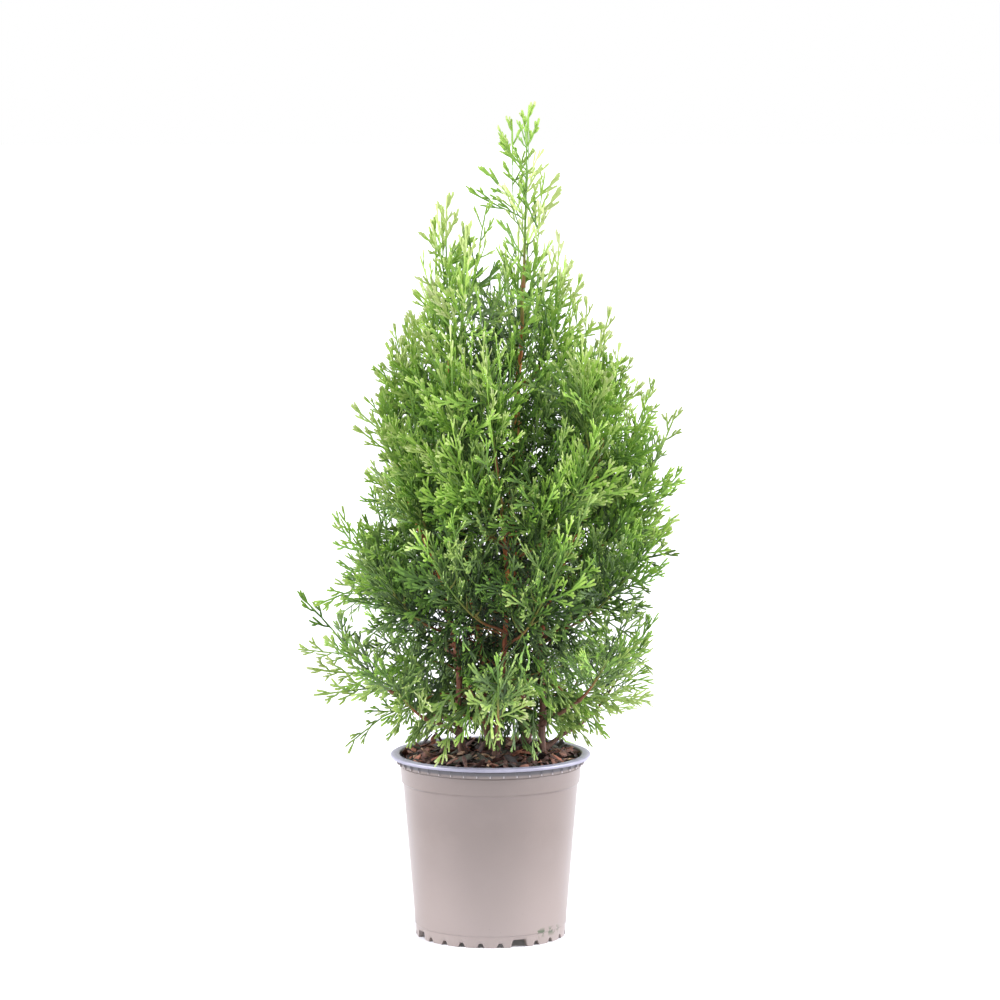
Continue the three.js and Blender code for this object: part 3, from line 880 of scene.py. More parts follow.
for own, spine in enumerate(spines):
    spine.twigs = sideTwigs(spine, own)
for stemIndex, limb in enumerate(stemLimbs):
    limb.twigs = stemTwigs(limb, stemIndex)
stemLimbs[0].twigs += closingTwigs(stemLimbs[0])
massSprays = [spraysOfMass(spine, own) for own, spine in enumerate(spines)]
stemSprays = [spraysOfStem(limb, stemIndex) for stemIndex, limb in enumerate(stemLimbs)]
print("sprays: %d on the masses, %d along the stems"
      % (sum(map(len, massSprays)), sum(map(len, stemSprays))))


# Lengths in millimetres and angles in degrees, on a spray of the given length; step is the finger spacing.
sprayKinds = {
    "plume": {"sizes": (74, 58, 44), "side": 0.32, "angle": 26, "spacing": 9.2, "step": 8.6, "finger": 9.5,
              "fingerAngle": 26, "width": 0.9, "pitch": 0.24, "forks": 0.1},
    "fan": {"sizes": (74, 58, 44), "side": 0.4, "angle": 34, "spacing": 9.4, "step": 8.8, "finger": 10.8,
            "fingerAngle": 33, "width": 0.96, "pitch": 0.24, "forks": 0.12},
    "slender": {"sizes": (76, 58, 44), "side": 0.52, "angle": 27, "spacing": 8.8, "step": 9.5, "finger": 13,
                "fingerAngle": 24, "width": 0.8, "pitch": 0.24, "forks": 0.15},
    "comb": {"sizes": (74, 58, 44), "side": 0.34, "angle": 37, "spacing": 9.5, "step": 8.5, "finger": 12.5,
             "fingerAngle": 33, "width": 1.08, "pitch": 0.2, "forks": 0.1},
    "spire": {"sizes": (74, 58, 44), "side": 0.5, "angle": 25, "spacing": 14, "step": 12, "finger": 10.5,
              "fingerAngle": 26, "width": 1.2, "pitch": 0.3, "forks": 0.0},
    "dead": {"sizes": (50, 40, 40), "side": 0.5, "angle": 42, "spacing": 6.5, "step": 7.5, "finger": 8,
             "fingerAngle": 42, "width": 0.55, "pitch": 0.5, "forks": 0.2},
}
# How one shoot is drawn: ring places along it, half widths there, and how much lighter it grows to its tip.
shootRings = {
    "axis": {"along": (0, 0.18, 0.36, 0.54, 0.72, 0.87, 0.97),
             "width": (0.6, 0.78, 0.64, 0.86, 0.72, 1.0, 0.8), "tipTone": 1.2},
    "side": {"along": (0, 0.3, 0.56, 0.78, 0.95), "width": (0.6, 0.92, 0.74, 1.06, 0.86), "tipTone": 1.3},
    "finger": {"along": (0, 0.5, 0.9), "width": (0.6, 1.06, 0.92), "tipTone": 1.6},
}

# How shoots stand on the one that carries them: places are shares of its length, pairs are drawn between.
shootRule = {
    "variants": 4,
    "axisWidth": 1.1,
    "axisCurl": 0.1,
    "side": {"from": 0.1, "span": 0.82, "stray": 0.3, "taper": 0.72, "length": (0.75, 1.2), "least": 5,
             "turn": 1.15, "turnFall": 0.35, "turnVaries": (0.85, 1.15), "curl": (0.1, 0.45)},
    "finger": {"from": 0.24, "span": 0.56, "stray": 0.4, "taper": 0.5, "length": (0.7, 1.2), "bare": 4,
               "perStep": 1.5, "turnVaries": (0.85, 1.2), "width": (0.88, 1.08), "curl": (0, 0.4),
               "slope": 0.16},
    "fork": {"longerThan": 7, "place": 0.42, "turn": 0.9, "length": 0.5, "width": 0.9},
    "ridge": 0.95,
    "scaleShift": 0.16,
    "baseShade": 0.62,
    "capTone": 1.2,
}


def growSprayKind(kind, size, variant):
    # shoots as rows: x, y, z, heading, slope, length, width, curl, tone; the place on a shoot at s is
    # start + length s (cos(heading + curl s / 2), sin(heading + curl s / 2), slope)
    rule, side, finger, fork = sprayKinds[kind], shootRule["side"], shootRule["finger"], shootRule["fork"]
    draw = np.random.default_rng([variant, size, len(kind)])
    turn = math.radians(rule["angle"])
    fingerTurn = math.radians(rule["fingerAngle"])
    axisCurl = draw.normal(0, shootRule["axisCurl"])
    axis = [0, 0, 0, 0, 0, size, rule["width"] * shootRule["axisWidth"], axisCurl, 0]
    rows = {"axis": [axis], "side": [], "finger": []}

    def at(shoot, s):
        angle = shoot[3] + shoot[7] * s / 2
        return [shoot[0] + shoot[5] * s * math.cos(angle), shoot[1] + shoot[5] * s * math.sin(angle),
                shoot[2] + shoot[5] * s * shoot[4]]

    def branch(parent, s, hand, angle, length, width, curl, slope):
        heading = parent[3] + parent[7] * s + hand * angle
        start = at(parent, s)
        return [*start, heading, slope, length, width, -hand * curl, start[0] / size]

    sides = int(size / rule["spacing"])
    for j in range(sides):
        s = side["from"] + side["span"] * (j + side["stray"] * draw.random()) / sides
        hand = 1 if j % 2 else -1
        share = rule["side"] * (1 - side["taper"] * s) * draw.uniform(*side["length"])
        length = size * share + side["least"]
        angle = turn * (side["turn"] - side["turnFall"] * s) * draw.uniform(*side["turnVaries"])
        slope = draw.normal(0, rule["pitch"])
        curl = draw.uniform(*side["curl"])
        sideShoot = branch(axis, s, hand, angle, length, rule["width"], curl, slope)
        rows["side"].append(sideShoot)
        fingers = int((length - finger["bare"]) / rule["step"] * finger["perStep"])
        for m in range(fingers):
            place = finger["from"] + finger["span"] * (m + finger["stray"] * draw.random()) / fingers
            fingerHand = hand if m % 2 else -hand
            reach = rule["finger"] * (1 - finger["taper"] * place) * draw.uniform(*finger["length"])
            away = fingerTurn * draw.uniform(*finger["turnVaries"])
            width = rule["width"] * draw.uniform(*finger["width"])
            curl = draw.uniform(*finger["curl"])
            fingerSlope = slope + draw.normal(0, finger["slope"])
            fingerShoot = branch(sideShoot, place, fingerHand, away, reach, width, curl, fingerSlope)
            rows["finger"].append(fingerShoot)
            if reach > fork["longerThan"] and draw.random() < rule["forks"]:
                rows["finger"].append(branch(
                    fingerShoot, fork["place"], -fingerHand, fingerTurn * fork["turn"],
                    reach * fork["length"], rule["width"] * fork["width"], 0, fingerSlope))
    return {level: np.array(shoots) for level, shoots in rows.items()}


def meshShoots(shoots, rings):
    # ring i of a shoot: left edge, ridge and right edge about its centre line; a point closes the tip, and
    # every other ring is set to the other side so that it looks scaly
    rule = shootRule
    s = np.array(rings["along"])
    x, y, z, heading, slope, length, width, curl, tone = shoots.T[:, :, None]

    def at(s):
        angle = heading + curl * s / 2
        return np.stack([x + length * s * np.cos(angle), y + length * s * np.sin(angle),
                         z + length * s * slope], -1)
    lean = heading + curl * s
    wide = width * np.array(rings["width"])
    shift = wide * rule["scaleShift"] * (-1) ** np.arange(len(s))
    across = np.stack([-np.sin(lean), np.cos(lean), 0 * lean], -1)
    centre = at(s) + across * shift[..., None]
    ridge = centre + upward * (wide * rule["ridge"])[..., None]
    edge = across * wide[..., None]
    sections = np.stack([centre + edge, ridge, centre - edge], 2)
    count, stations = len(shoots), len(s)
    points = np.concatenate([sections.reshape(count, -1, 3), at(1)], 1)
    each = points.shape[1]
    first = np.arange(count)[:, None, None] * each
    quads = (gridFaces(stations, 3)[None] + first).reshape(-1, 4)
    caps = np.vstack([fanFaces(3, (stations - 1) * 3, each - 1), [[2, 1, 0]]])
    triangles = (caps[None] + first).reshape(-1, 3)
    share = (np.repeat(np.arange(stations - 1), 3) + 0.5) / (stations - 1)
    quadTones = tone + rings["tipTone"] * share ** 2 - rule["baseShade"] * (1 - share)
    capTones = tone + rings["tipTone"] * rule["capTone"] * np.array([1, 1, 1, 0])
    return points.reshape(-1, 3), quads, triangles, quadTones.ravel(), capTones.ravel()


def buildSprayShape(kind, size, variant):
    levels = growSprayKind(kind, size, variant)
    return joinParts([meshShoots(levels[level], rings) for level, rings in shootRings.items()])


sprayShapes = {}
for kind, rule in sprayKinds.items():
    for size in set(rule["sizes"]):
        for variant in range(shootRule["variants"]):
            sprayShapes[kind, size, variant] = buildSprayShape(kind, size, variant)
print("spray shapes: %d, the largest of %d faces" % (
    len(sprayShapes), max(len(shape[1]) + len(shape[2]) for shape in sprayShapes.values())))


# Greens from the shade inside the crown to the new tips, for the dull and the vivid sprays, and the browns
# of the dead.
foliageColours = {
    "dull": ((24, 35, 22), (38, 55, 32), (59, 80, 46), (85, 110, 60), (113, 141, 73), (137, 165, 81),
             (158, 181, 95), (180, 193, 130)),
    "vivid": ((22, 35, 17), (36, 55, 25), (54, 80, 35), (78, 111, 45), (103, 141, 55), (126, 165, 62),
              (148, 182, 76), (174, 193, 115)),
    "dead": ((128, 84, 66), (158, 104, 74)),
}
greens = len(foliageColours["dull"])

# Tones are steps along the greens; heights are millimetres.
# The inner and fill tones are painted shade inside the crown; the outer and top tones are painted light,
# with some paler new growth.
foliageLook = {
    "pieceTriangles": 180000,
    "roughness": 0.52,
    "specular": 0.35,
    "innerTone": 0.82,
    "outerTone": 4.05,
    "outerPower": 1.4,
    "fillTone": -0.5,
    "topTone": 3.0,
    "topFrom": 330,
    "topRange": 390,
    "alongTone": 1.05,
    "spread": 1.6,
    "lift": {"plume": 0.12, "fan": 0.12, "comb": 0.06, "slender": 0.1, "spire": 0.05, "dead": 0.0},
    "sideLift": 0.16,
    "scaleRange": (0.8, 1.25),
    "upright": {"plume": 0.75, "fan": 0.7, "comb": 0.55, "slender": 0.5, "spire": 0.2, "dead": 0.0},
    "vividShare": (0.3, 0.7),
    "vividFrom": 230,
    "vividRange": 170,
    "darkDead": 0.6,
}


def foliageMaterial(number, base):
    finish = Finish("foliage_%d" % number, foliageLook["roughness"], foliageLook["specular"])
    finish.feed("Base Color", colour(*base))
    return finish.material


allFoliageColours = [base for family in foliageColours.values() for base in family]
foliageMaterials = [foliageMaterial(number, base) for number, base in enumerate(allFoliageColours)]


def sprayTone(spray):
    # painted shade inside the crown, painted light with some paler new growth at its reach and its top, and
    # a little by chance
    tip = spray["root"] + spray["forward"] * spray["length"]
    look = foliageLook
    tone = mix(look["innerTone"], look["outerTone"], min(1, crownShare(tip)) ** look["outerPower"])
    tone += look["topTone"] * float(np.clip((tip[2] - look["topFrom"]) / look["topRange"], 0, 1))
    if tip[2] < fillRule["lowBelow"]:
        tone += fillRule["lowTone"]
    tone += (chance(40, spray["seed"]) - 0.5) * look["spread"]
    # the filling sprays get more painted shade
    return tone + (look["fillTone"] if spray["inner"] else 0)


def uprightFace(spray):
    # turned about its forward by a share of the way to the upright plane through the crown's axis
    outward = spray["root"] + spray["forward"] * spray["length"] - plantShape["crownCentre"]
    forward = spray["forward"]
    square = np.cross(upward, outward)
    square = unit(square - forward * (square @ forward))
    if square @ spray["normal"] < 0:
        square = -square
    normal = unit(mix(spray["normal"], square, foliageLook["upright"][spray["kind"]]))
    return normal, np.cross(normal, forward)


def isVivid(spray):
    # few of the low sprays and most of the high ones
    rise = (spray["root"][2] - foliageLook["vividFrom"]) / foliageLook["vividRange"]
    return chance(46, spray["seed"]) < mix(*foliageLook["vividShare"], float(np.clip(rise, 0, 1)))


def placeSpray(spray):
    # forward, side and normal carry the shape's x, y and z; a level spray bends up or down with the square
    # of x, and its side shoots rise with their distance from its axis
    look, kind, seed = foliageLook, spray["kind"], spray["seed"]
    size = min(sprayKinds[kind]["sizes"], key=lambda made: abs(made - spray["length"]))
    variant = int(chance(41, seed) * shootRule["variants"])
    points, quads, triangles, quadTones, capTones = sprayShapes[kind, size, variant]
    scale = float(np.clip(spray["length"] / size, *look["scaleRange"]))
    hand = 1 if chance(42, seed) < 0.5 else -1
    normal, side = uprightFace(spray)
    axes = np.stack([spray["forward"], side * hand, normal * hand])
    placed = spray["root"] + (points * scale) @ axes
    x, y = points[:, :1] / size, np.abs(points[:, 1:2]) / size
    level = 1 - abs(float(spray["forward"] @ upward))
    bend = look["lift"][kind] * varied(43, seed) - fillRule["droop"] * spray["sag"]
    curve = bend * level * x ** 2 + look["sideLift"] * level * y
    placed = placed + upward * curve * size * scale
    if kind == "dead":
        brown = 2 * greens + (chance(44, seed) > look["darkDead"])
        return placed, quads, triangles, np.full(len(quads), brown), np.full(len(triangles), brown)
    tone = sprayTone(spray)
    family = greens * isVivid(spray)
    shades = [np.clip(np.round(tone + look["alongTone"] * group), 0, greens - 1) + family
              for group in (quadTones, capTones)]
    return placed, quads, triangles, *shades


def trianglesIn(part):
    # a quad counts as two
    return 2 * len(part[1]) + len(part[2])


def makeFoliage(name, parts, replaced):
    points, quads, triangles, quadTones, capTones = joinParts(parts)
    piece = makePiece(name, points * mm, [quads, triangles], foliageMaterials,
                      tones=np.concatenate([quadTones, capTones]), smooth=False)
    if replaced:
        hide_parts(*replaced)
    print("%s: %d triangles" % (name, 2 * len(quads) + len(triangles)))


def dress(name, groups):
    # groups of sprays, each with the node it stands for or None, joined up to the largest size of a piece
    waiting, replaced, total, number = [], [], 0, 1
    for sprays, node in groups:
        parts = [placeSpray(spray) for spray in sprays]
        size = sum(map(trianglesIn, parts))
        if waiting and total + size > foliageLook["pieceTriangles"]:
            makeFoliage("%s_%d" % (name, number), waiting, replaced)
            waiting, replaced, total, number = [], [], 0, number + 1
        waiting += parts
        replaced += [node] if node else []
        total += size
    makeFoliage("%s_%d" % (name, number), waiting, replaced)


dress("foliage_sprays", [(sprays, spine.name) for sprays, spine in zip(massSprays, spines)])
dress("inner_sprays", [(sprays, None) for sprays in stemSprays])


# Bough and twig: rows and columns of the tube, strength of the bark's relief, sway, and first seed.
woodShape = {
    "sunk": (7, 1.5),
    "sunkRows": 3,
    "footSwell": 1.08,
    "stemRowStep": 2.0,
    "stemColumns": 26,
    "bough": {"rows": 60, "columns": 16, "relief": 0.7, "sway": 1.4, "seed": 50},
    "twig": {"rows": 18, "columns": 5, "relief": 0.3, "sway": 0, "seed": 90},
    "collar": 0.7,
    "collarLength": 5,
    "sway": 0.5,
    "swayLength": 15,
    "swaySlower": 0.8,
    "swayFrom": 20,
    "wanderLengths": (7, 9, 8),
    "forkDrop": 9,
    "forkLength": 22,
    "forkParent": 1.9,
}

# Relief of the bark as a share of the radius, its lengths along the limb.
barkShape = {
    "fibres": 6,
    "fibresAround": (3, 12),
    "drift": 0.05,
    "wander": 0.9,
    "wanderLength": 17,
    "swell": 0.4,
    "swellLength": 9,
    "knotLength": 11,
    "knotTwist": 23,
    "ridge": 0.16,
    "knot": 0.12,
}


def lengthAlong(centres):
    # distance from the first centre to each one, step by step
    return np.concatenate([[0], np.cumsum(np.linalg.norm(np.diff(centres, axis=0), axis=1))])


def tube(centres, radii, columns, relief):
    # centre + radius (1 + relief) (cos a across + sin a other), with a point closing each end
    ways = unit(np.gradient(centres, axis=0))
    across = unit(np.cross(ways, [0.3, 1.0, 0.1]))
    other = np.cross(ways, across)
    around = np.arange(columns) * 2 * math.pi / columns
    along = lengthAlong(centres)
    wide = radii[:, None] * (1 + relief(along[:, None], around[None, :]))
    spokes = (np.cos(around)[None, :, None] * across[:, None]
              + np.sin(around)[None, :, None] * other[:, None])
    rings = centres[:, None] + wide[..., None] * spokes
    points = np.concatenate([rings.reshape(-1, 3), centres[:1], centres[-1:]])
    rows = len(centres)
    foot = fanFaces(columns, 0, rows * columns, flipped=True)
    top = fanFaces(columns, (rows - 1) * columns, rows * columns + 1)
    uv = np.broadcast_arrays(along[:, None] / 100, around[None, :] / (2 * math.pi))
    uv = np.stack(uv, -1).reshape(-1, 2)
    return points, gridFaces(rows, columns), np.concatenate([foot, top]), np.vstack([uv, uv[:1], uv[-1:]])


def barkRelief(seed, strength):
    # fibres: sines of the turn whose phase wanders up the limb, deeper where a slow sine swells, and knots
    rule = barkShape
    draw = np.random.default_rng(seed)
    counts = draw.integers(*rule["fibresAround"], rule["fibres"])
    phases = draw.uniform(0, 2 * math.pi, (rule["fibres"], 3))
    drifts = draw.uniform(-rule["drift"], rule["drift"], rule["fibres"])

    def relief(along, around):
        height = 0
        for count, (first, second, third), drift in zip(counts, phases, drifts):
            wander = drift * along + rule["wander"] * np.sin(along / rule["wanderLength"] + second)
            swell = 1 - rule["swell"] + rule["swell"] * np.sin(along / rule["swellLength"] + third)
            height = height + np.sin(count * around + first + wander) * swell
        knots = np.sin(along / rule["knotLength"] + phases[0, 0])
        knots = knots * np.sin(around + along / rule["knotTwist"] + phases[1, 0])
        return strength * rule["ridge"] * height / 3 + strength * rule["knot"] * knots
    return relief


def stemTube(limb, seed):
    # from under the soil up, swaying by a share of its radius once it stands clear
    shape = woodShape
    shares = np.linspace(0, 1, int(lengthAlong(limb.centres)[-1] / shape["stemRowStep"]))
    below = limb.centres[0] - upward * np.linspace(*shape["sunk"], shape["sunkRows"])[:, None]
    centres = np.vstack([below, limb.curve(shares)])
    foot = np.full(shape["sunkRows"], limb.radii[0] * shape["footSwell"])
    radii = np.concatenate([foot, limb.radiusAt(shares)])
    rise = np.clip(centres[:, 2] - limb.centres[0, 2], 0, None)
    wave = rise / shape["swayLength"] + seed
    sway = np.stack([np.sin(wave), np.cos(shape["swaySlower"] * wave), 0 * wave], -1)
    sway = sway * (shape["sway"] * radii)[:, None]
    centres = centres + sway * np.clip(rise / shape["swayFrom"], 0, 1)[:, None]
    return tube(centres, radii, shape["stemColumns"], barkRelief(seed, 1))


def limbTube(limb, kind, number):
    # starts inside its parent, thickened there by a collar that dies out along the limb; off a stem it forks
    # upward, lowered by drop (1 - along / length)^2
    shape, made = woodShape, woodShape[kind]
    seed = made["seed"] + number
    shares = np.linspace(0, 1, made["rows"] - 1)
    centres = np.vstack([limb.seat, limb.curve(shares)])
    radii = np.concatenate([limb.radii[:1], limb.radiusAt(shares)])
    along = lengthAlong(centres)
    if np.linalg.norm(limb.centres[0] - limb.seat) > shape["forkParent"]:
        rising = unit(upward - limb.start * limb.start[2])
        lowered = shape["forkDrop"] * np.clip(1 - along / shape["forkLength"], 0, 1) ** 2
        centres = centres - rising * lowered[:, None]
    x, y, z = shape["wanderLengths"]
    wander = np.stack([np.sin(along / x + seed), np.cos(along / y), np.sin(along / z + 2 * seed)], -1)
    centres = centres + made["sway"] * wander * np.sin(math.pi * along / along[-1])[:, None]
    radii = radii * (1 + shape["collar"] * np.exp(-along / shape["collarLength"]))
    return tube(centres, radii, made["columns"], barkRelief(seed, made["relief"]))


# Heights in metres; each range is where a mask goes from 0 to 1; noises are scale, detail and stretch; a
# bump is its distance in metres and its strength.
barkLook = {
    "height": (0.17, 0.63),
    "fibres": (520, 5, (1, 1, 0.09)),
    "patches": (60, 3, (1, 1, 0.4)),
    "patchiness": 0.25,
    "stops": ((0, (138, 110, 98)), (0.12, (136, 98, 82)), (0.28, (158, 90, 60)), (0.42, (200, 122, 68)),
              (0.58, (172, 146, 74)), (0.76, (190, 126, 70)), (0.88, (188, 118, 66)), (1, (128, 146, 72))),
    "crack": (46, 28, 24),
    "cracksTo": (0.36, 0.6),
    "crackShare": 0.45,
    "flake": (178, 150, 134),
    "flakePatches": (0.58, 0.72),
    "flakeFibres": (0.5, 0.64),
    "flakeShare": 0.5,
    "roughness": 0.62,
    "roughnessRange": 0.3,
    "specular": 0.3,
    "bump": (0.0006, 0.7),
}


def barkMaterial(look):
    # grey-brown at the soil, red-brown above it, orange and then green where the bark is young
    finish = Finish("stem_bark", look["roughness"], look["specular"])
    height = finish.axis("Z").over(*look["height"])
    fibres = finish.noise(*look["fibres"])
    patches = finish.noise(*look["patches"])
    base = finish.ramp(height + (patches - 0.5) * look["patchiness"], linearStops(look["stops"]))
    cracks = (1 - fibres.over(*look["cracksTo"])) * look["crackShare"]
    flakes = patches.over(*look["flakePatches"]) * fibres.over(*look["flakeFibres"]) * look["flakeShare"]
    cracked = finish.blend(cracks, base, colour(*look["crack"]))
    finish.feed("Base Color", finish.blend(flakes, cracked, colour(*look["flake"])))
    finish.feed("Roughness", fibres * look["roughnessRange"] + look["roughness"])
    finish.bump(fibres, *look["bump"])
    return finish.material


def makeWood(name, tubes, replaced, material, shades=None):
    points, quads, triangles, uv = joinParts(tubes)
    piece = makePiece(name, points * mm, [quads, triangles], [material], uv=uv, values=shades)
    if replaced:
        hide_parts(*replaced)
    print("%s: %d faces" % (name, len(quads) + len(triangles)))


# Age is 0 at the root and 1 at the tip of a twig; the first ages are for twigs that start out greener.
twigLook = {
    "firstAge": {"spine": 0, "stemTwig": 0.2, "sideTwig": 0.5},
    "height": (0.22, 0.6),
    "grain": (300, 3, (1, 1, 0.3)),
    "stops": ((0, (96, 62, 50)), (0.3, (132, 84, 52)), (0.46, (124, 116, 56)), (0.66, (92, 122, 50)),
              (1, (112, 150, 60))),
    "ageShare": 0.72,
    "heightShare": 0.3,
    "grainShare": 0.25,
    "roughness": 0.6,
    "specular": 0.35,
}


def twigShades(limbs, first):
    # from first at the root to 1 at the tip, ring by ring, then the two closing points
    made = woodShape["twig"]
    rings = np.repeat(mix(first, 1, np.linspace(0, 1, made["rows"])), made["columns"])
    return np.tile(np.concatenate([rings, [first, 1]]), len(limbs))


def twigMaterial(look):
    # brown at the root, olive and then green towards the tip, sooner high in the crown
    finish = Finish("twig_bark", look["roughness"], look["specular"])
    height = finish.axis("Z").over(*look["height"])
    grain = finish.noise(*look["grain"])
    age = finish.attribute("shade") * look["ageShare"] + height * look["heightShare"]
    age = age + (grain - 0.5) * look["grainShare"]
    finish.feed("Base Color", finish.ramp(age, linearStops(look["stops"])))
    return finish.material


bark = barkMaterial(barkLook)
makeWood("barked_stems", [stemTube(limb, number) for number, limb in enumerate(stemLimbs)],
         [limb.name for limb in stemLimbs], bark)
makeWood("barked_boughs", [limbTube(limb, "bough", number) for number, limb in enumerate(boughs)],
         [limb.name for limb in boughs], bark)
fineLimbs = {
    "spine": spines,
    "stemTwig": [twig for limb in stemLimbs for twig in limb.twigs],
    "sideTwig": [twig for spine in spines for twig in spine.twigs],
}
fineTubes = [limbTube(limb, "twig", number) for number, limb in enumerate(sum(fineLimbs.values(), []))]
fineShades = [twigShades(limbs, twigLook["firstAge"][kind]) for kind, limbs in fineLimbs.items()]
makeWood("twigs", fineTubes, [], twigMaterial(twigLook), np.concatenate(fineShades))


potShape = {
    "rimRadius": 95.9,
    "lipInnerRadius": 86.5,
    "lipThickness": 4,
    "height": 176,
    "collarRadius": 88.6,
    "collarBottom": 165,
    "bandRadius": 86.2,
    "groove": 2.2,
    "shoulderHeight": 147,
    "shoulderRadius": 83.6,
    "bodyBottomRadius": 72.2,
    "footHeight": 10.7,
    "footRadius": 71.4,
    "footInnerRadius": 66.5,
    "floorUnderside": 8.5,
    "wall": 1.8,
    "columns": 484,
    "rowStep": 7,
    "ribEvery": 11,
    "ribDepth": 1.7,
    "notches": {"large": (17, 13, 7.4), "small": (7.2, 3.4, 4.4), "count": 24, "largeEvery": 6,
                "turn": -67.5},
}


def roundedProfile(corners, radii, arcSteps=4, most=0.45):
    # each corner gives way to an arc about it, over at most that share of either side: start, corner and end
    # of a quadratic curve
    places = []
    for i, (corner, radius) in enumerate(zip(corners, radii)):
        corner = np.array(corner, float)
        if radius == 0 or i in (0, len(corners) - 1):
            places.append(corner[None])
            continue
        before, after = np.array(corners[i - 1], float) - corner, np.array(corners[i + 1], float) - corner
        reach = min(radius, most * np.linalg.norm(before), most * np.linalg.norm(after))
        start, end = corner + unit(before) * reach, corner + unit(after) * reach
        t = np.linspace(0, 1, arcSteps + 1)[:, None]
        places.append((1 - t) ** 2 * start + 2 * t * (1 - t) * corner + t ** 2 * end)
    return np.concatenate(places)


def fillProfile(profile, step):
    # more places along the long straight runs
    filled = []
    for here, there in zip(profile[:-1], profile[1:]):
        count = max(1, int(np.linalg.norm(there - here) / step))
        filled.append(mix(here, there, np.arange(count)[:, None] / count))
    return np.concatenate(filled + [profile[-1:]])


def footLift(turns):
    # how high the foot's lower edge stands at each turn: sloping sides between each notch's two widths
    notch = potShape["notches"]
    pitch = 360 / notch["count"]
    place = (np.degrees(turns) - (notch["turn"] - 90)) / pitch
    number = np.round(place).astype(int)
    distance = np.abs(place - number) * math.radians(pitch) * potShape["footRadius"]
    large = number % notch["largeEvery"] == 0
    sizes = np.where(large, np.array(notch["large"])[:, None], np.array(notch["small"])[:, None])
    bottom, top, height = sizes
    return height * np.clip((bottom / 2 - distance) / (bottom / 2 - top / 2), 0, 1)


def potProfile(shape):
    # radius, height and rounding of each corner, from the middle of the underside up the outside, over the
    # lip and down the inside
    footInner, foot, body = shape["footInnerRadius"], shape["footRadius"], shape["bodyBottomRadius"]
    shoulder, band, collar = shape["shoulderRadius"], shape["bandRadius"], shape["collarRadius"]
    lipInner, rim = shape["lipInnerRadius"], shape["rimRadius"]
    under, footTop, step = shape["floorUnderside"], shape["footHeight"], shape["shoulderHeight"]
    collarFrom, top = shape["collarBottom"], shape["height"]
    lipFrom, wall = top - shape["lipThickness"], shape["wall"]
    bandGroove, collarGroove = band - shape["groove"], collar - shape["groove"]
    corners = [
        (0, under, 0), (footInner, under, 0.6),
        (footInner + 0.3, 0, 0.5), (foot, 0, 0.6),
        (foot, footTop, 0.3), (body, footTop + 0.7, 1),
        (shoulder, step, 0.7), (band - 0.9, step + 1.2, 1.2),
        (band + 0.2, collarFrom - 1.3, 0.4), (bandGroove, collarFrom - 0.9, 0.2),
        (bandGroove, collarFrom + 0.2, 0.2), (collar - 0.3, collarFrom + 0.2, 0.5),
        (collar, lipFrom - 1.4, 0.3), (collarGroove, lipFrom - 1, 0.2),
        (collarGroove, lipFrom, 0.2), (rim - 0.6, lipFrom - 0.3, 1.2),
        (rim, top - 1.2, 1.6), (rim - 3.4, top, 2.2),
        (lipInner + 0.4, top - 0.6, 1.6), (lipInner - 0.4, collarFrom, 2),
        (bandGroove - wall, step + 4, 1), (shoulder - wall, step, 1),
        (body - wall, under + wall, 2), (0, under + wall, 0),
    ]
    places = [corner[:2] for corner in corners]
    rounding = [corner[2] for corner in corners]
    return fillProfile(roundedProfile(places, rounding), shape["rowStep"])


def makePot(shape):
    # radius and height run along the profile, turned about Z; the foot's rows rise into the notches and
    # small ribs stand out of the collar
    columns = shape["columns"]
    profile = potProfile(shape)
    rings = profile[1:-1]
    turns = np.arange(columns) * 2 * math.pi / columns
    radius = np.repeat(rings[:, :1], columns, axis=1)
    height = np.repeat(rings[:, 1:], columns, axis=1)
    outside = np.arange(len(rings)) < np.argmax(rings[:, 0])
    ribFrom, ribTo = shape["collarBottom"] + 0.5, shape["height"] - shape["lipThickness"] - 1.2
    collar = outside & (rings[:, 1] > ribFrom) & (rings[:, 1] < ribTo)
    ribs = np.arange(columns) % shape["ribEvery"] == 0
    radius += shape["ribDepth"] * collar[:, None] * ribs[None, :]
    # 1 on each rib's column and -1 on the column before it: where a painted highlight and painted shade go
    ribLightAndShade = collar[:, None] * (ribs.astype(float) - np.roll(ribs, 1))[None, :]
    foot = np.clip(1 - rings[:, 1:] / shape["floorUnderside"], 0, 1) * outside[:, None]
    height += foot * footLift(turns)[None, :]
    sides = np.stack([radius * np.cos(turns), radius * np.sin(turns), height], -1).reshape(-1, 3)
    points = np.vstack([sides, [0, 0, profile[0, 1]], [0, 0, profile[-1, 1]]]) * mm
    under = fanFaces(columns, 0, len(sides), flipped=True)
    floor = fanFaces(columns, (len(rings) - 1) * columns, len(sides) + 1)
    faces = [gridFaces(len(rings), columns), np.vstack([under, floor])]
    piece = makePiece("nursery_pot", points, faces, [potMaterial(potLook)],
                      values=np.concatenate([ribLightAndShade.ravel(), [0, 0]]))
    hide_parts("pot")


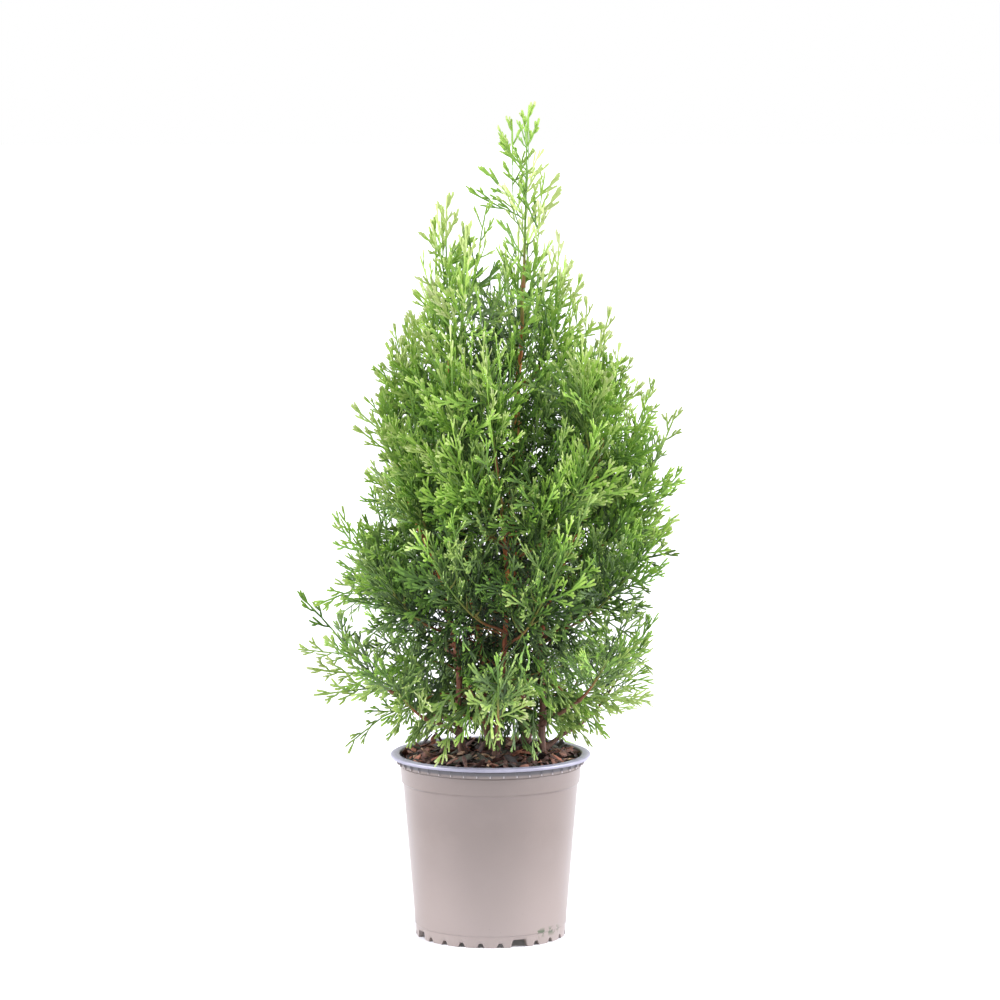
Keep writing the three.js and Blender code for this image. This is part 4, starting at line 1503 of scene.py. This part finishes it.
# Places in metres, each a range where a mask goes from 0 to 1; patches are scale, detail, and where the
# noise starts and ends; a bump is its distance in metres and its strength.
potLook = {
    "colours": {
        "body": (113, 98, 89),
        "bodyWarm": (108, 93, 85),
        "bodyPale": (119, 105, 97),
        # lighter towards the foot: painted light from the floor
        "paintedFloorLight": (142, 128, 121),
        "speck": (120, 104, 98),
        "stain": (50, 66, 24),
        # painted highlight on each rib and painted shade beside it
        "ribHighlight": (214, 206, 208),
        "ribShade": (70, 58, 58),
        # painted shade under the lip
        "underLipShade": (36, 30, 40),
        "lip": (129, 127, 146),
        "lipPale": (148, 146, 164),
    },
    "warmPatches": (9, 3, 0.4, 0.62),
    "palePatches": (26, 4, 0.5, 0.75),
    "paleShare": 0.5,
    "floorLightHeight": (0.0, 0.11),
    "specks": (420, 1, 0.72, 0.78),
    "speckShare": 0.5,
    "stainHeight": ((0.006, 0.0105), (0.013, 0.0165)),
    "stainAcross": ((0.040, 0.044), (0.062, 0.066)),
    "stainBehind": (-0.03, -0.02),
    "stainPatches": (130, 2, 0.5, 0.58),
    "ribPaintRange": (0.2, 0.8),
    "ribPaintShare": 0.8,
    "underLipShadeHeight": (0.1663, 0.1682),
    "lipPatches": (40, 3, 0.4, 0.65),
    "lipHeight": (0.1718, 0.1726),
    "insideRadius": (0.0866, 0.0872),
    "insideHeight": (0.1663, 0.1665),
    "grain": (900, 2),
    "roughness": 0.34,
    "roughnessRange": 0.12,
    "specular": 0.9,
    "bump": (0.00012, 0.5),
    "coat": 0.5,
    "coatRoughness": 0.45,
    "coatIor": 1.7,
}


def potMaterial(look):
    # a mottled body, lighter low down as painted light from the floor, and stained at the foot; under the
    # lip, ribs with a painted highlight and painted shade beside each, a band of painted shade, and a bluish
    # lip
    finish = Finish("pot_plastic", look["roughness"], look["specular"])
    tint = {name: colour(*base) for name, base in look["colours"].items()}
    x, y, z = (finish.axis(letter) for letter in "XYZ")
    grain = finish.noise(*look["grain"])
    # the rib values, for the painted highlight and painted shade beside each rib
    edge = finish.attribute("shade")
    inside = 1 - (x * x + y * y).power(0.5).over(*look["insideRadius"])
    stain = z.within(*look["stainHeight"]) * x.within(*look["stainAcross"])
    stain = stain * (1 - y.over(*look["stainBehind"])) * finish.patches(*look["stainPatches"])
    onLip = (z.over(*look["lipHeight"]) + inside * z.over(*look["insideHeight"])).over(0, 1)
    layers = [
        (finish.patches(*look["palePatches"]) * look["paleShare"], tint["bodyPale"]),
        # lighter towards the foot: painted light from the floor
        (1 - z.over(*look["floorLightHeight"]), tint["paintedFloorLight"]),
        (finish.patches(*look["specks"]) * look["speckShare"], tint["speck"]),
        (stain, tint["stain"]),
        # painted highlight on each rib and painted shade on the column before it
        (edge.over(*look["ribPaintRange"]) * look["ribPaintShare"], tint["ribHighlight"]),
        ((edge * -1).over(*look["ribPaintRange"]) * look["ribPaintShare"], tint["ribShade"]),
        # painted shade in a band under the lip, on the outside only
        (z.over(*look["underLipShadeHeight"]) * (1 - inside), tint["underLipShade"]),
        (onLip, finish.blend(finish.patches(*look["lipPatches"]), tint["lip"], tint["lipPale"])),
    ]
    body = finish.blend(finish.patches(*look["warmPatches"]), tint["bodyWarm"], tint["body"])
    for share, over in layers:
        body = finish.blend(share, body, over)
    finish.feed("Base Color", body)
    finish.feed("Roughness", grain * look["roughnessRange"] + look["roughness"])
    finish.feed("Coat Weight", look["coat"])
    finish.feed("Coat Roughness", look["coatRoughness"])
    finish.feed("Coat IOR", look["coatIor"])
    finish.bump(grain, *look["bump"])
    return finish.material


makePot(potShape)
print("pot made")


mulchShape = {
    "edgeRadius": 86.0,
    "edgeSharpness": 14,
    "level": 170.2,
    "rise": 4.2,
    "lump": 1.1,
    "rings": 60,
    "columns": 180,
    "under": 166,
    "underRadius": 20,
}

# Lengths in millimetres; a pair is drawn between.
chipShape = {
    "seed": 7,
    "count": 520,
    "length": (7, 24),
    "mostlyShort": 1.6,
    "width": (4, 10),
    "shortWidth": 0.6,
    "thickness": (0.8, 2.2),
    "stations": 6,
    "sides": 6,
    "endGap": 0.12,
    "bluntness": 0.45,
    "unevenAlong": (0.65, 1.25),
    "unevenAround": (0.85, 1.15),
    "ragged": 0.5,
    "bend": (-0.5, 1.6),
    "point": 0.52,
    "tilt": 0.36,
    "tiltLift": 0.22,
    "reach": 82,
    "stray": 2,
    "pile": 2.6,
    "edgeGap": 0.4,
}

# Each kind of chip: its colour, and its share of the chips.
chipColours = [((84, 62, 56), 0.3), ((112, 78, 66), 0.22), ((136, 88, 70), 0.12), ((50, 44, 42), 0.2),
               ((68, 68, 58), 0.1), ((172, 142, 118), 0.06)]


def soilHeight(x, y):
    # a low mound with lumps: sums of sines of the place
    shape = mulchShape
    radius = np.hypot(x, y) / shape["edgeRadius"]
    lumps = (np.sin(x / 7 + 1.3) * np.sin(y / 6 + 0.4) + 0.6 * np.sin(x / 3.1 + y / 4.3)
             + 0.4 * np.sin(x / 1.9 - y / 1.7 + 2))
    edge = np.clip((1 - radius) * shape["edgeSharpness"], 0, 1)
    return shape["level"] + shape["rise"] * (1 - radius ** 2) + shape["lump"] * lumps * edge


def soilSurface(shape):
    # rings out from the middle, then down the edge and in again below
    columns = shape["columns"]
    radii = np.concatenate([np.linspace(0, 1, shape["rings"])[1:] * shape["edgeRadius"],
                            [shape["edgeRadius"] - 0.2, shape["underRadius"]]])
    turns = np.arange(columns) * 2 * math.pi / columns
    x, y = radii[:, None] * np.cos(turns), radii[:, None] * np.sin(turns)
    z = soilHeight(x, y)
    z[-2:] = shape["under"]
    sides = np.stack([x, y, z], -1).reshape(-1, 3)
    points = np.vstack([sides, [0, 0, soilHeight(0.0, 0.0)], [0, 0, shape["under"]]])
    middle = fanFaces(columns, 0, len(sides))
    below = fanFaces(columns, (len(radii) - 1) * columns, len(sides) + 1, flipped=True)
    return points, gridFaces(len(radii), columns)[:, ::-1], np.vstack([middle, below])


def turnAbout(axis, angles):
    # one rotation matrix per angle, for rows multiplied from the left
    turned = np.zeros((len(angles), 3, 3))
    first, second = [(1, 2), (2, 0), (0, 1)][axis]
    turned[:, axis, axis] = 1
    turned[:, first, first] = turned[:, second, second] = np.cos(angles)
    turned[:, first, second] = np.sin(angles)
    turned[:, second, first] = -np.sin(angles)
    return turned


def chipBodies(draw, shape):
    # a chip is a flat tube: half length cos t along, width and thickness sin t to a low power around it, its
    # width and edge made uneven by draws, then bent
    count, stations, sides = shape["count"], shape["stations"], shape["sides"]
    length = mix(*shape["length"], draw.random(count) ** shape["mostlyShort"])
    slim = mix(shape["shortWidth"], 1, length / shape["length"][1])
    width = mix(*shape["width"], draw.random(count)) * slim
    thick = mix(*shape["thickness"], draw.random(count))
    t = np.linspace(shape["endGap"], math.pi - shape["endGap"], stations)
    fullness = (np.sin(t) ** shape["bluntness"])[None, :, None]
    around = np.arange(sides) * 2 * math.pi / sides
    uneven = draw.uniform(*shape["unevenAlong"], (count, stations, 1))
    uneven = uneven * draw.uniform(*shape["unevenAround"], (count, 1, sides))
    long, wide, high = (size[:, None, None] for size in (length, width, thick))
    u = (-np.cos(t))[None, :, None] * long / 2 + draw.normal(0, shape["ragged"], uneven.shape)
    v = fullness * np.cos(around) * wide / 2 * uneven
    w = fullness * np.sin(around) * high / 2 * uneven
    w = w + draw.uniform(*shape["bend"], (count, 1, 1)) * (1 - (2 * u / long) ** 2)
    body = np.stack([u, v, w], -1).reshape(count, -1, 3)
    point = length * shape["point"]
    ends = np.stack([np.stack([hand * point, 0 * point, 0 * point], -1) for hand in (-1, 1)], 1)
    return np.concatenate([body, ends], 1), length, thick


def layChips(draw, chips, length, thick, shape):
    # tilted and turned, dealt over the soil by the golden angle, and pulled in clear of the pot's wall
    count = shape["count"]
    pitch = draw.normal(0, shape["tilt"], count).clip(-1, 1)
    roll = draw.normal(0, shape["tilt"], count).clip(-1, 1)
    heading = draw.uniform(0, 2 * math.pi, count)
    chips = chips @ turnAbout(1, pitch) @ turnAbout(0, roll) @ turnAbout(2, heading)
    number = np.arange(count)
    radius = shape["reach"] * np.sqrt((number + 0.5) / count)
    x = radius * np.cos(number * goldenTurn) + draw.normal(0, shape["stray"], count)
    y = radius * np.sin(number * goldenTurn) + draw.normal(0, shape["stray"], count)
    lift = thick * 0.5 + draw.uniform(0, shape["pile"], count)
    lift = lift + np.abs(np.sin(pitch)) * length * shape["tiltLift"]
    chips = chips + np.stack([x, y, soilHeight(x, y) + lift], -1)[:, None]
    edge = mulchShape["edgeRadius"] - shape["edgeGap"]
    chips[..., :2] *= np.minimum(1, edge / np.hypot(chips[..., 0], chips[..., 1]))[..., None]
    return chips


def chipSurfaces(shape):
    draw = np.random.default_rng(shape["seed"])
    chips, length, thick = chipBodies(draw, shape)
    chips = layChips(draw, chips, length, thick, shape)
    count, stations, sides = shape["count"], shape["stations"], shape["sides"]
    each = chips.shape[1]
    first = np.arange(count)[:, None, None] * each
    caps = np.vstack([fanFaces(sides, 0, each - 2, flipped=True),
                      fanFaces(sides, (stations - 1) * sides, each - 1)])
    quads = (gridFaces(stations, sides)[None] + first).reshape(-1, 4)
    triangles = (caps[None] + first).reshape(-1, 3)
    kinds = draw.choice(len(chipColours), count, p=[share for base, share in chipColours])
    tones = np.concatenate([np.repeat(kinds, (stations - 1) * sides), np.repeat(kinds, 2 * sides)])
    return chips.reshape(-1, 3), quads, triangles, tones


mulchLook = {
    "soil": (54, 42, 36),
    "grain": (240, 5, (1, 1, 0.5)),
    "brightness": 1.15,
    "dark": 0.4,
    "pale": 1.5,
    "places": (0.3, 0.5, 0.72),
    "roughness": 0.5,
    "roughnessRange": 0.4,
    "specular": 0.35,
    "bump": (0.0012, 0.8),
}


def mulchMaterial(name, base, look):
    # one colour, darker and paler along a fine grain
    finish = Finish(name, look["roughness"], look["specular"])
    grain = finish.noise(*look["grain"])
    level = np.array(colour(*base)) * look["brightness"]
    levels = (level * look["dark"], level, np.minimum(level * look["pale"], 1))
    finish.feed("Base Color", finish.ramp(grain, list(zip(look["places"], levels))))
    finish.feed("Roughness", grain * look["roughnessRange"] + look["roughness"])
    finish.bump(grain, *look["bump"])
    return finish.material


def makeMulch():
    points, quads, triangles = soilSurface(mulchShape)
    soilFinish = mulchMaterial("soil", mulchLook["soil"], mulchLook)
    soil = makePiece("soil_bed", points * mm, [quads, triangles], [soilFinish])
    points, quads, triangles, tones = chipSurfaces(chipShape)
    materials = [mulchMaterial("chip_%d" % number, base, mulchLook)
                 for number, (base, share) in enumerate(chipColours)]
    chips = makePiece("bark_chips", points * mm, [quads, triangles], materials, tones=tones, smooth=False)
    for piece in (soil, chips):
        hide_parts("bark_mulch")


makeMulch()
print("mulch made")


studio = {
    "floorSize": 60,
    "floorColour": (0.76, 0.76, 0.78),
    "floorRoughness": 0.9,
    "floorSpecular": 0.1,
    "floorGlow": 0.06,
    "fillLight": 0.24,
    "backdrop": (1.0, 1.0, 1.0),
    "lamps": (
        {"name": "leftBox", "from": (-1.0, -0.08, 0.6), "strength": 4.5, "spread": 46,
         "tint": (1, 1, 1.08)},
        {"name": "rightBox", "from": (1.0, -0.06, 0.6), "strength": 5.0, "spread": 46,
         "tint": (1, 1, 1.08)},
        {"name": "topBox", "from": (0.05, -0.42, 1.2), "strength": 1.75, "spread": 60,
         "tint": (1, 1, 1)},
    ),
}


def makeFloor(look):
    half = look["floorSize"] / 2
    corners = [(-half, -half, 0), (half, -half, 0), (half, half, 0), (-half, half, 0)]
    mesh = bpy.data.meshes.new("floor")
    mesh.from_pydata(corners, [], [(0, 1, 2, 3)])
    floor = bpy.data.objects.new("floor", mesh)
    paper = Finish("floor_paper", look["floorRoughness"], look["floorSpecular"])
    paper.feed("Base Color", look["floorColour"])
    paper.feed("Emission Color", (1, 1, 1))
    paper.feed("Emission Strength", look["floorGlow"])
    mesh.materials.append(paper.material)
    bpy.context.scene.collection.objects.link(floor)


def makeSurround(look):
    # white where it is seen directly or in a reflection, dimmer as the soft light that it sheds
    world = bpy.data.worlds.new("studio")
    world.use_nodes = True
    tree = world.node_tree
    seen = tree.nodes["Background"]
    seen.inputs["Color"].default_value = (*look["backdrop"], 1)
    lit = tree.nodes.new("ShaderNodeBackground")
    lit.inputs["Strength"].default_value = look["fillLight"]
    path = tree.nodes.new("ShaderNodeLightPath")
    direct = tree.nodes.new("ShaderNodeMath")
    direct.operation = "MAXIMUM"
    both = tree.nodes.new("ShaderNodeMixShader")
    tree.links.new(path.outputs["Is Camera Ray"], direct.inputs[0])
    tree.links.new(path.outputs["Is Glossy Ray"], direct.inputs[1])
    tree.links.new(direct.outputs[0], both.inputs[0])
    tree.links.new(lit.outputs[0], both.inputs[1])
    tree.links.new(seen.outputs[0], both.inputs[2])
    tree.links.new(both.outputs[0], tree.nodes["World Output"].inputs["Surface"])
    bpy.context.scene.world = world


def makeLamps(look):
    # broad lamps, each turned from its place to the origin
    for lamp in look["lamps"]:
        data = bpy.data.lights.new(lamp["name"], "SUN")
        data.angle = math.radians(lamp["spread"])
        data.energy = lamp["strength"]
        data.color = lamp["tint"]
        light = bpy.data.objects.new(lamp["name"], data)
        x, y, z = lamp["from"]
        light.location = (x, y, z)
        light.rotation_euler = (math.atan2(math.hypot(x, y), z), 0, math.atan2(x, -y))
        bpy.context.scene.collection.objects.link(light)


makeFloor(studio)
makeSurround(studio)
makeLamps(studio)
bpy.context.scene.view_settings.view_transform = "Standard"
print("studio made")
